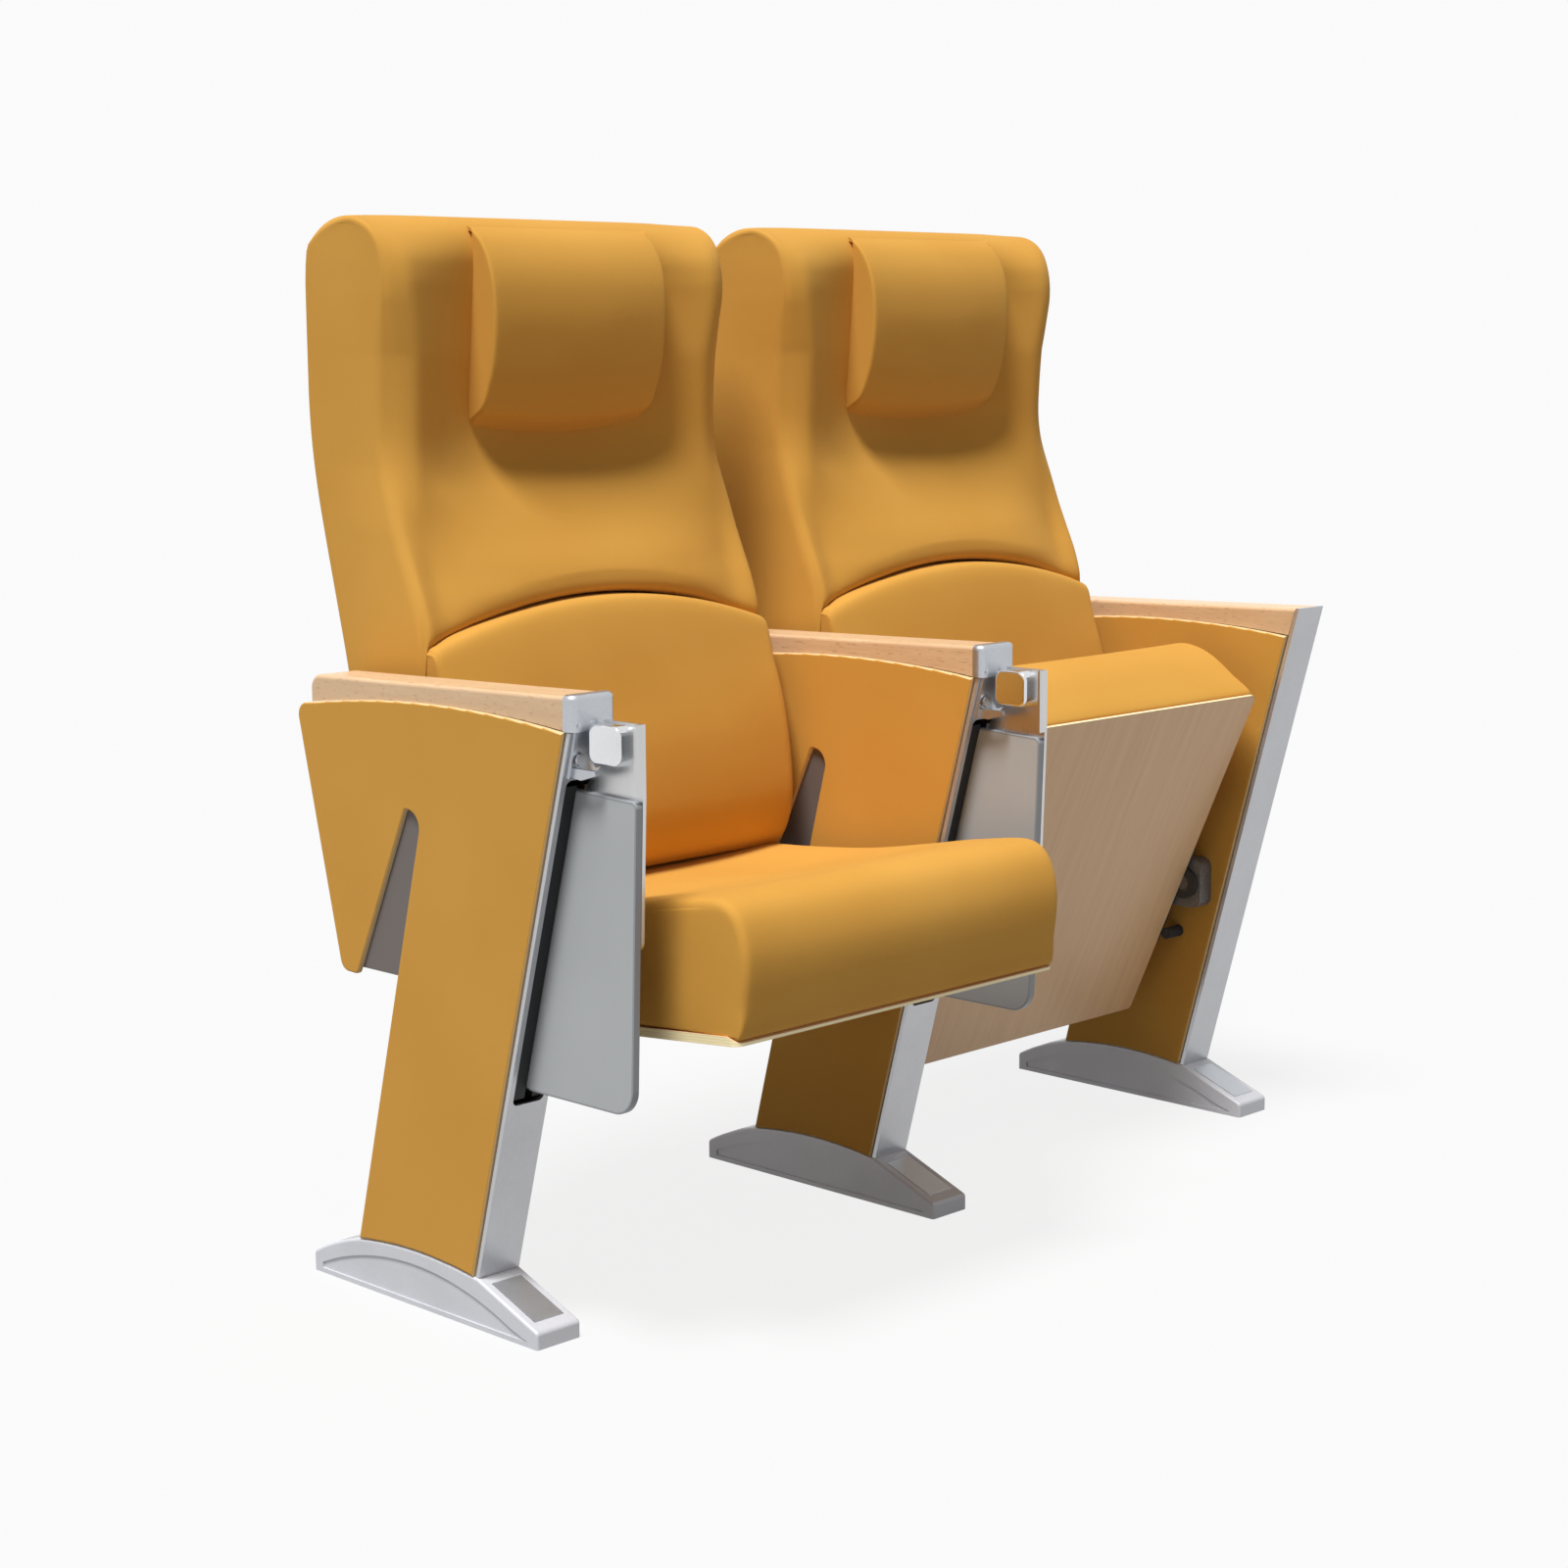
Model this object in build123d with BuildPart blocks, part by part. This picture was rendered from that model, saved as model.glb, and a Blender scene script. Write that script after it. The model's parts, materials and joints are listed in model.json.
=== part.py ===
from build123d import *
import math
import os

# Two-seat row of tip-up auditorium seating: three standards, two seats, two backs
# and two swing-out writing tablets. Millimetres, +Z up, X along the row, -Y to the
# front. The origin is on the floor at the middle foot's two anchor holes.

os.makedirs("parts", exist_ok=True)

# ---------------------------------------------------------------- driving sizes
seat_pitch = 560.0            # centre to centre of two neighbouring standards
running_gap = 0.3             # clearance between pieces that lie on each other
pin_clearance = 0.05          # radial clearance of a turning or close fit

# Standards
core_half = 23.0              # half the width of the folded steel core
core_wall = 3.0               # sheet thickness of the core
panel_thickness = 5.0         # upholstered side panel
strip_half = 25.0             # half the width of the aluminium front strip
strip_depth = 5.0             # front strip, measured along Y
shadow_gap = 1.5              # dark joint between front strip and side panel
lean = math.tan(math.radians(15.2))   # forward lean of the standard, Y per Z
front_top_y = -235.0          # front plane of the standard at the panel's top
panel_top_z = 592.0
leg_rear_y = -17.0            # rear edge of the leg at slot_shoulder_z
slot_shoulder_z = 482.0
leg_rear_lean = 0.2646        # Y per Z of the leg's rear edge
arm_top_front_z = 625.0
arm_top_rear_z = 616.0
arm_rear_y = 154.0
arm_half = 25.0
arm_edge_r = 4.0

# Foot
foot_length = 350.0
foot_half = 27.25
foot_lip = 17.0               # height of the foot's front lip
foot_tail = 20.0              # height of the foot's rear lip
foot_leg_front_y = -88.0
foot_leg_rear_y = 96.0
foot_shoulder_z = 50.0
foot_crown = 7.0              # rise of the foot's top between the leg's edges
anchor_spacing = 260.0
anchor_hole_r = 6.0
anchor_recess_r = 14.0
anchor_floor = 9.0            # metal left under each anchor recess
side_relief_depth = 1.5
side_relief_margin = 9.0
foot_tail_rise = 3.0          # bulge of the foot's sloping rear
cap_half = 18.0               # anchor cover, half its width
cap_length = 62.0             # along Y
cap_thickness = 3.0
cap_proud = 0.6               # how far a cover stands above the foot
foot_screw_r = 5.0
foot_screw_spacing = 90.0
foot_screw_head_r = 9.0
foot_screw_head = 8.0

# Tablet channel and tablet
channel_half = 19.0
channel_top_z = 547.0
sill_z = 228.0
tablet_pivot_y = -267.0
tablet_pivot_z = 583.0
board_low_x = -4.0            # board's left face, from the standard's middle plane
board_thickness = 8.0
board_rear_y = -120.0
board_front_top_y = -298.5
board_front_low_y = -287.5
board_top_front_z = 533.0
board_top_rear_z = 541.0
board_bottom_z = 242.0
board_corner_r = 25.0
edging = 2.0                  # moulded edging round the board
bracket_plate = 4.0
bracket_low_z = 396.0
bracket_top_z = 603.0
bracket_depth = 46.0          # bracket's leg along the board's front edge
bracket_flange = 3.0          # thickness of the bracket's front flange
bracket_front_y = -299.0
knuckle_half_y = 21.0
knuckle_half_z = 18.5
knuckle_low_x = -14.0
knuckle_corner_r = 10.0
knuckle_face = 4.0            # wall left in front of the hinge pin's end
hinge_pin_r = 5.0
hinge_pin_head_r = 8.0
hinge_pin_head = 2.5
ear_thickness = 8.0
ear_r = 14.0
block_half = 22.0             # cast block under the armrest's end cap
hinge_screw_x = -13.5
hinge_screw_z = 567.0
hinge_screw_r = 2.5
hinge_screw_head_r = 6.0
hinge_screw_head = 2.5
hinge_screw_lift = 1.8        # head's underside to the sloping block
stop_lug = ((-227.0, 551.0), (-242.0, 549.5), (-262.0, 555.5), (-260.5, 559.5), (-230.0, 559.5))
stop_lug_x = (-19.0, -14.6)
cap_front_y = -241.0
cap_rear_y = -228.0
cap_top_z = 626.5
cap_corner_r = 9.0
tablet_screw_r = 2.5
tablet_screw_head_r = 5.0
tablet_screw_head = 2.0
tablet_screw_grip = 5.0       # how deep the tablet's screws go into the board
seal_gap = 0.8                # channel seals to the tablet
seal_depth = 2.0
seal_set_back = 1.0           # seals behind the strip's front face

# Seats
seat_pivot_y = -104.5
seat_pivot_z = 286.0
tip_angle = 61.0
pan_half = 224.0
pan_length = 444.0
pan_thickness = 9.0
pan_lip = 3.0                 # pan's thickness at its front edge
pan_bevel = 14.0              # how far back the front edge's bevel goes
pan_slope = 5.0               # degrees, front edge up when the seat is down
pan_front_u = -258.5          # pan's lower front edge, from the pivot
pan_front_v = 24.2
pan_front_r = 10.0
pan_rear_r = 6.0
cushion_half = 222.0
cushion_height = 125.0        # crest of the front roll above the pan
cushion_front = 1.0           # cushion's lower front edge behind the pan's edge
cushion_rear = 12.0
cushion_overhang = 17.0       # bulge of the cushion's front face
cushion_bolster = 7.0         # side bolsters above the middle of the seat
seat_arm_gap = 0.8            # seat arm to pivot housing
seat_arm = 4.0                # steel side arm of the seat frame
seat_arm_height = 24.0
seat_hub_r = 19.0
bar_width = 30.0              # flat bars of the seat frame
bar_height = 12.0
cross_bar_at = (218.0, 300.0)
long_bar_at = (-130.0, 130.0)
long_bar_from = 70.0
arm_from = 214.0
arm_to = 345.0
housing_half_y = 23.0
housing_half_z = 30.0
housing_corner_r = 12.0
housing_spring_r = 20.0
housing_spring_depth = 7.5
pivot_pin_r = 8.0
bush_wall = 3.0
spring_strip = 1.2
spring_width = 6.0
spring_pitch = 3.2
spring_half_turns = 6
bumper_r = 7.0
stop_at = 330.0               # where the stops meet the seat arm's tail
seat_screw_grip = 5.0         # how deep the seat screws go into the pan
seat_screw_r = 2.5

# Backs
back_half = 242.0
back_top_z = 1065.0
back_low_z = 560.0
back_corner_r = 6.0
back_wing_depth = 18.0        # rounding of the side wings' front edge
back_wing_width = 42.0
rear_shell = 9.0
frame_depth = 22.0
frame_post = 20.0
shell_half = 212.0
shell_low_z = 340.0
frame_low_z = 415.0
shell_top_z = 1022.0
lumbar_half = 232.0
lumbar_bottom_z = 399.0
lumbar_crown = 9.0
lumbar_seam_y = 54.0          # front of the lumbar cushion at the seam
lumbar_waist_y = 5.0          # its foremost line at the sides
lumbar_waist_z = 462.0
arch_top_z = 680.0
arch_end_z = 638.0
seam_gap = 1.0
pillow_half = 117.0
pillow_offset = 6.0           # pillow's middle from the seat's middle
pillow_low_z = 846.0
pillow_top_z = 1044.0
pillow_rear_y = 143.0
pillow_front_y = 93.0
pillow_top_y = 115.0
pillow_lip = 17.0             # height of the slanting lower edge
pillow_crown = 5.0            # bulge of the front in the middle
pillow_seat_rise = 13.0       # how far the hollow comes forward at the pillow's ends
shell_corner_r = 30.0
frame_inset = 7.0             # back frame inside the rear shell's edge
frame_rail = 40.0
back_bracket_plate = 6.0
back_bracket_z = 500.0
back_bracket_height = 80.0
bolt_r = 4.0
bolt_head_r = 6.5
bolt_head = 5.0

# -------------------------------------------------------------- worked-out sizes
panel_half = core_half + panel_thickness
standards = {"left": -seat_pitch, "middle": 0.0, "right": seat_pitch}
seats = {"left": -seat_pitch / 2, "right": seat_pitch / 2}
seat_tips = {"left": 0.0, "right": tip_angle}
tablet_sides = ("left", "middle")
plate_low_x = board_low_x + board_thickness
ear_low_x = plate_low_x + bracket_plate + running_gap
arm_inner = pan_half + seat_arm_gap
arm_outer = arm_inner + seat_arm
seat_gap = seat_pitch / 2 - panel_half      # from a seat's middle to a side panel
pan_dir = (math.cos(math.radians(pan_slope)), math.sin(math.radians(pan_slope)))
anchor_ys = (-anchor_spacing / 2, anchor_spacing / 2)
foot_chord = foot_leg_rear_y - foot_leg_front_y
foot_arc_r = ((foot_chord / 2) ** 2 + foot_crown**2) / (2 * foot_crown)
foot_arc_y = (foot_leg_front_y + foot_leg_rear_y) / 2
arch_r = (lumbar_half**2 + (arch_top_z - arch_end_z) ** 2) / (2 * (arch_top_z - arch_end_z))
housing_depth = seat_gap - arm_outer - seat_arm_gap

# Profile of a back's rear face: (height, Y), leaning below the bend, upright above.
rear_line = [(400.0, 147.0), (738.0, 205.0), (843.0, 223.0), (890.0, 227.0), (1040.0, 227.0)]
# Front of the back by height: (height, ridge Y of the side wings, middle Y).
front_line = [
    (back_low_z, 57.0, 52.0),
    (640.0, 56.0, 50.0),
    (680.0, 73.0, 52.0),
    (710.0, 86.0, 68.0),
    (745.0, 98.0, 90.0),
    (780.0, 108.0, 111.0),
    (812.0, 119.0, 131.0),
    (843.0, 128.0, 142.0),
    (890.0, 125.0, 145.0),
    (940.0, 116.0, 145.0),
    (985.0, 106.0, 143.0),
    (1015.0, 108.0, 136.0),
    (1036.0, 116.0, 127.0),
]
# Rounding of the back's top: (drop below the top, inset of the side, front Y, rear inset).
top_roll = [
    (20.0, 1.0, 119.0, 24.0),
    (11.0, 4.0, 125.0, 47.0),
    (4.0, 14.0, 134.0, 66.0),
    (0.0, 26.0, 142.0, 75.0),
]


# --------------------------------------------------------------------- helpers
def side_plane(x):
    """Plane across the row at x: sketch X is +Y, sketch Y is +Z, normal +X."""
    return Plane(origin=(x, 0, 0), x_dir=(0, 1, 0), z_dir=(1, 0, 0))


def seat_plane(x, tip):
    """Side plane with its origin on the seat pivot, turned with the tipped seat."""
    turn = math.radians(tip)
    return Plane(
        origin=(x, seat_pivot_y, seat_pivot_z),
        x_dir=(0, math.cos(turn), -math.sin(turn)),
        z_dir=(1, 0, 0),
    )


def seat_point(tip, u, v):
    """World Y and Z of a point given from the pivot of a seat tipped by tip."""
    turn = math.radians(tip)
    y = seat_pivot_y + u * math.cos(turn) + v * math.sin(turn)
    z = seat_pivot_z - u * math.sin(turn) + v * math.cos(turn)
    return y, z


def pan_point(along, above):
    """Point from the pivot: along the pan from its front, above its underside."""
    c, s = pan_dir
    return (pan_front_u + along * c + above * s, pan_front_v - along * s + above * c)


def pan_plane(x, tip, above):
    """Plane parallel to the pan: sketch X is +X, sketch Y runs to the pan's rear."""
    c, s = pan_dir
    y0, z0 = seat_point(tip, *pan_point(0, above))
    y1, z1 = seat_point(tip, pan_point(0, above)[0] + s, pan_point(0, above)[1] + c)
    return Plane(origin=(x, y0, z0), x_dir=(1, 0, 0), z_dir=(0, y1 - y0, z1 - z0))


def corners(sketch, points):
    """The sketch's corners nearest to the given points."""
    return [sketch.vertices().sort_by_distance((u, v))[0] for u, v in points]


def save(builder, name):
    """Names the finished piece and writes it."""
    builder.part.label = name
    export_step(builder.part, f"parts/{name}.step")


def front_y(z):
    """Front plane of a standard at height z."""
    return front_top_y + (panel_top_z - z) * lean


def leg_rear(z):
    """Rear edge of a standard's leg at height z."""
    return leg_rear_y + (slot_shoulder_z - z) * leg_rear_lean


def foot_top(y):
    """Height of the foot's arched top at y."""
    centre_z = foot_shoulder_z + foot_crown - foot_arc_r
    return centre_z + math.sqrt(foot_arc_r**2 - (y - foot_arc_y) ** 2)


def arch(x):
    """Height of the seam between the lumbar and upper cushions, x from the seat's middle."""
    return arch_top_z - arch_r + math.sqrt(arch_r**2 - min(abs(x), lumbar_half) ** 2)


def rear_y(z):
    """Rear face of a back at height z."""
    for (z0, y0), (z1, y1) in zip(rear_line, rear_line[1:]):
        if z <= z1:
            return y0 + (y1 - y0) * (z - z0) / (z1 - z0)
    return rear_line[-1][1]


def arc_height(start, end, rise, y):
    """Height at y of the arc from start to end that bulges up by rise."""
    run = end[0] - start[0]
    drop = end[1] - start[1]
    chord = math.hypot(run, drop)
    radius = ((chord / 2) ** 2 + rise**2) / (2 * rise)
    inward = radius - rise
    centre_y = (start[0] + end[0]) / 2 + inward * drop / chord
    centre_z = (start[1] + end[1]) / 2 - inward * run / chord
    return centre_z + math.sqrt(radius**2 - (y - centre_y) ** 2)


def foot_surface(y):
    """Height of the foot's top anywhere along it."""
    half = foot_length / 2
    if y < foot_leg_front_y:
        share = (y + half) / (foot_leg_front_y + half)
        return foot_lip + (foot_shoulder_z - foot_lip) * share
    if y <= foot_leg_rear_y:
        return foot_top(y)
    return arc_height((foot_leg_rear_y, foot_shoulder_z), (half, foot_tail), foot_tail_rise, y)


def foot_line(y_from, y_to, gap):
    """Arc that follows the foot's top between two Y places, gap above it."""
    middle = (y_from + y_to) / 2
    points = [(y, foot_top(y) + gap) for y in (y_from, middle, y_to)]
    return ThreePointArc(*points)


# ------------------------------------------------------------------- standards
arm_line_mid = (-81.0, panel_top_z + 10.0)
arm_line_rear = (153.0, panel_top_z - 4.0)
wing_rear_top = (175.0, panel_top_z - 6.0)
wing_low_rear = (112.0, 324.0)
wing_low_front = (87.0, 323.0)
slot_tip_z = 497.0
slot_tip_rear_y = 5.0
slot_r = 12.0                  # round ends of the strip's slot, as a diameter
slot_tip_r = (17.0, 4.0)       # tip of the panel's slot, at the leg and at the wing
wing_r = 13.0
core_inset = 3.0


def cap_profile(x, y, grow, proud):
    """Side profile at x of an anchor cover centred on y, grown by a clearance."""
    places = [y - cap_length / 2 - grow, y, y + cap_length / 2 + grow]
    top = [(place, foot_surface(place) + proud) for place in places]
    low = [(place, foot_surface(place) - cap_thickness - grow) for place in places]
    with BuildSketch(side_plane(x)) as profile:
        Polygon(*top, *reversed(low), align=None)
    return profile.sketch


def make_foot(side, x):
    """Cast foot: arched top, sloping toe, side reliefs, anchor recesses."""
    half = foot_length / 2
    with BuildPart() as foot:
        with BuildSketch(side_plane(x - foot_half)) as profile:
            with BuildLine():
                Polyline((-half, 0), (-half, foot_lip), (foot_leg_front_y, foot_shoulder_z))
                foot_line(foot_leg_front_y, foot_leg_rear_y, 0)
                tail_mid = (foot_leg_rear_y + half) / 2
                ThreePointArc(
                    (foot_leg_rear_y, foot_shoulder_z),
                    (tail_mid, foot_surface(tail_mid)),
                    (half, foot_tail),
                )
                Polyline((half, foot_tail), (half, 0), (-half, 0))
            make_face()
            fillet(corners(profile, [(-half, foot_lip), (half, foot_tail)]), 5)
        extrude(amount=2 * foot_half)
        long_edges = foot.edges().filter_by(Axis.X, reverse=True).filter_by(
            lambda edge: edge.center().Z > foot_lip / 2 and edge.length > 30
        )
        fillet(long_edges, 3)
        for face_x, way in ((x - foot_half, 1), (x + foot_half, -1)):
            with BuildSketch(side_plane(face_x)) as relief:
                with BuildLine():
                    Line((-half + 14, 5), (half - 14, 5))
                    Line((half - 14, 5), (half - 14, 11))
                    ThreePointArc(
                        (half - 14, 11),
                        (foot_arc_y, foot_top(foot_arc_y) - 1.6 * side_relief_margin),
                        (-half + 40, 13),
                    )
                    Line((-half + 40, 13), (-half + 14, 5))
                make_face()
            extrude(amount=way * side_relief_depth, mode=Mode.SUBTRACT)
        for y in anchor_ys:
            with Locations((x, y, anchor_floor)):
                Cylinder(
                    anchor_recess_r,
                    foot_shoulder_z,
                    align=(Align.CENTER, Align.CENTER, Align.MIN),
                    mode=Mode.SUBTRACT,
                )
            with Locations((x, y, 0)):
                Cylinder(anchor_hole_r, 4 * anchor_floor, mode=Mode.SUBTRACT)
            pocket = cap_profile(x - cap_half - running_gap, y, running_gap, foot_crown)
            extrude(pocket, amount=2 * (cap_half + running_gap), mode=Mode.SUBTRACT)
        for y in (-foot_screw_spacing / 2, foot_screw_spacing / 2):
            with Locations((x, foot_arc_y + y, 0)):
                Cylinder(foot_screw_r + pin_clearance, 4 * foot_shoulder_z, mode=Mode.SUBTRACT)
                Cylinder(
                    foot_screw_head_r + 1,
                    2 * (foot_screw_head + 3),
                    mode=Mode.SUBTRACT,
                )
    save(foot, f"foot_{side}")


def make_foot_screws():
    """Socket screws that come up through each foot into the core's floor."""
    with BuildPart() as screws:
        for x in standards.values():
            for y in (-foot_screw_spacing / 2, foot_screw_spacing / 2):
                with Locations((x, foot_arc_y + y, 3)):
                    Cylinder(
                        foot_screw_head_r,
                        foot_screw_head,
                        align=(Align.CENTER, Align.CENTER, Align.MIN),
                    )
                    Cylinder(
                        foot_screw_r,
                        foot_shoulder_z + foot_crown + 6,
                        align=(Align.CENTER, Align.CENTER, Align.MIN),
                    )
    save(screws, "foot_screws")


def make_anchor_caps():
    """Snap-in covers over the anchor recesses, on the foot's sloping top."""
    with BuildPart() as caps:
        for x in standards.values():
            for y in anchor_ys:
                extrude(cap_profile(x - cap_half, y, 0, cap_proud), amount=2 * cap_half)
    save(caps, "anchor_caps")


def make_core(side, x):
    """Folded steel core, open at the front, with bosses for the seat pivot pins."""
    front = strip_depth
    top = panel_top_z - core_inset
    with BuildPart() as core:
        with BuildSketch(side_plane(x - core_half)):
            with BuildLine():
                foot_line(front_y(foot_shoulder_z) + front, leg_rear(foot_shoulder_z), running_gap)
                low_rear = leg_rear(foot_shoulder_z)
                Line(
                    (low_rear, foot_top(low_rear) + running_gap),
                    (leg_rear(wing_low_rear[1] + 6), wing_low_rear[1] + 6),
                )
                Polyline(
                    (leg_rear(wing_low_rear[1] + 6), wing_low_rear[1] + 6),
                    (wing_low_rear[0] - core_inset, wing_low_rear[1] + 6),
                    (wing_rear_top[0] - core_inset, wing_rear_top[1] - 16),
                    (arm_line_rear[0] - core_inset, arm_line_rear[1] - 2),
                )
                ThreePointArc(
                    (arm_line_rear[0] - core_inset, arm_line_rear[1] - 2),
                    (arm_line_mid[0], arm_line_mid[1] - 2),
                    (front_y(top) + front, top),
                )
                low_front = front_y(foot_shoulder_z) + front
                Line((front_y(top) + front, top), (low_front, foot_top(low_front) + running_gap))
            make_face()
        extrude(amount=2 * core_half)
        with BuildSketch(side_plane(x - core_half + core_wall)):
            with BuildLine():
                Polyline(
                    (front_y(top) - 20, top - 10),
                    (wing_rear_top[0] - core_inset - 8, top - 14),
                    (wing_low_rear[0] - core_inset - 6, wing_low_rear[1] + 12),
                    (leg_rear(wing_low_rear[1]) - 6, wing_low_rear[1] + 12),
                    (leg_rear(80) - 4, 80),
                    (front_y(80) - 20, 80),
                    close=True,
                )
            make_face()
        extrude(amount=2 * (core_half - core_wall), mode=Mode.SUBTRACT)
        with BuildSketch(side_plane(x - core_half)):
            with Locations((seat_pivot_y, seat_pivot_z)):
                Circle(pivot_pin_r + 5)
        extrude(amount=2 * core_half)
        with BuildSketch(side_plane(x - core_half)):
            with Locations((seat_pivot_y, seat_pivot_z)):
                Circle(pivot_pin_r + pin_clearance)
            with Locations(*back_bolt_places()):
                Circle(bolt_r + pin_clearance)
        extrude(amount=2 * core_half, mode=Mode.SUBTRACT)
        for y in (-foot_screw_spacing / 2, foot_screw_spacing / 2):
            with Locations((x, foot_arc_y + y, foot_shoulder_z)):
                Cylinder(foot_screw_r + pin_clearance, 4 * foot_shoulder_z, mode=Mode.SUBTRACT)
    save(core, f"core_{side}")


def make_strip(side, x):
    """Aluminium front strip; with a tablet it is slotted from hinge to sill."""
    has_tablet = side in tablet_sides
    top = panel_top_z if has_tablet else arm_top_front_z
    low = foot_top(foot_leg_front_y) + running_gap
    depth = strip_depth - running_gap
    with BuildPart() as strip:
        with BuildSketch(side_plane(x - strip_half)):
            Polygon(
                (front_y(low), low),
                (front_y(low) + depth, foot_top(front_y(low) + depth) + running_gap),
                (front_y(top) + depth, top),
                (front_y(top), top),
                align=None,
            )
        extrude(amount=2 * strip_half)
        if has_tablet:
            with BuildSketch(Plane.XZ.offset(-cap_front_y)):
                with Locations((x, (channel_top_z + sill_z) / 2)):
                    RectangleRounded(2 * channel_half, channel_top_z - sill_z, slot_r / 2)
            extrude(amount=-foot_length, mode=Mode.SUBTRACT)
    save(strip, f"front_strip_{side}")


def make_channel_seals():
    """Rubber lips that close the tablet channels on both sides of the tablets."""
    lip = channel_half - board_thickness / 2 - seal_gap
    low, high = sill_z + slot_r / 2, channel_top_z - slot_r / 2
    start, end = seal_set_back, seal_set_back + seal_depth
    with BuildPart() as seals:
        for side in tablet_sides:
            for x in (standards[side] - channel_half, standards[side] + channel_half - lip):
                with BuildSketch(side_plane(x)):
                    Polygon(
                        (front_y(low) + start, low),
                        (front_y(low) + end, low),
                        (front_y(high) + end, high),
                        (front_y(high) + start, high),
                        align=None,
                    )
                extrude(amount=lip)
    save(seals, "channel_seals")


def faces_a_seat(side, face):
    """Whether a side panel looks at a seat, not out of the row."""
    return (side, face) not in (("left", "left"), ("right", "right"))


def make_panel(side, face, x):
    """Upholstered side panel: leg and wing with the narrow slot between them."""
    start = x + core_half if face == "right" else x - core_half - panel_thickness
    edge = strip_depth + shadow_gap
    with BuildPart() as panel:
        with BuildSketch(side_plane(start)) as profile:
            with BuildLine():
                low_front = front_y(foot_shoulder_z) + edge
                low_rear = leg_rear(foot_shoulder_z)
                foot_line(low_front, low_rear, running_gap)
                Polyline(
                    (low_rear, foot_top(low_rear) + running_gap),
                    (leg_rear(slot_tip_z), slot_tip_z),
                    (slot_tip_rear_y, slot_tip_z),
                    wing_low_front,
                    wing_low_rear,
                    wing_rear_top,
                    arm_line_rear,
                )
                ThreePointArc(arm_line_rear, arm_line_mid, (front_y(panel_top_z) + edge, panel_top_z))
                Line(
                    (front_y(panel_top_z) + edge, panel_top_z),
                    (low_front, foot_top(low_front) + running_gap),
                )
            make_face()
            slot_tip = [(leg_rear(slot_tip_z), slot_tip_z), (slot_tip_rear_y, slot_tip_z)]
            for point, radius in zip(slot_tip, slot_tip_r):
                fillet(corners(profile, [point]), radius)
            fillet(corners(profile, [wing_low_rear]), wing_r)
            fillet(corners(profile, [wing_low_front]), wing_r / 2)
            fillet(corners(profile, [wing_rear_top]), wing_r)
        extrude(amount=panel_thickness)
        outer = Axis.X if face == "right" else -Axis.X
        fillet(panel.faces().sort_by(outer)[-1].edges(), 2)
        with BuildSketch(side_plane(start)):
            with Locations((seat_pivot_y, seat_pivot_z)):
                Circle(pivot_pin_r + pin_clearance)
            with Locations(*back_bolt_places()):
                Circle(bolt_r + pin_clearance)
        if faces_a_seat(side, face):
            extrude(amount=panel_thickness, mode=Mode.SUBTRACT)
    save(panel, f"panel_{side}_{face}")


def make_armrest(side, x):
    """Solid beech armrest that follows the panel's arched top."""
    if side in tablet_sides:
        low_front = high_front = cap_rear_y + running_gap
    else:
        low_front = front_y(panel_top_z) + strip_depth
        high_front = front_y(arm_top_front_z) + strip_depth
    low = running_gap
    with BuildPart() as armrest:
        with BuildSketch(side_plane(x - arm_half)) as profile:
            with BuildLine():
                Line((low_front, panel_top_z + 1 + low), (high_front, arm_top_front_z))
                Line((high_front, arm_top_front_z), (arm_rear_y, arm_top_rear_z))
                Line((arm_rear_y, arm_top_rear_z), (arm_rear_y, arm_line_rear[1] + low))
                ThreePointArc(
                    (arm_rear_y, arm_line_rear[1] + low),
                    (arm_line_mid[0], arm_line_mid[1] + low),
                    (low_front, panel_top_z + 1 + low),
                )
            make_face()
            fillet(corners(profile, [(arm_rear_y, arm_top_rear_z)]), 14)
        extrude(amount=2 * arm_half)
        long_edges = armrest.edges().filter_by(
            lambda edge: edge.center().Z > arm_top_rear_z and edge.length > 2 * arm_half
        )
        fillet(long_edges, arm_edge_r)
    save(armrest, f"armrest_{side}")


# --------------------------------------------------------------------- tablets
def block_front(z):
    """Sloping front face of the hinge block at height z."""
    low = channel_top_z + 3
    share = (panel_top_z + 8 - z) / (panel_top_z + 8 - low)
    return cap_front_y + (front_y(low) - 6 - cap_front_y) * share


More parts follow.
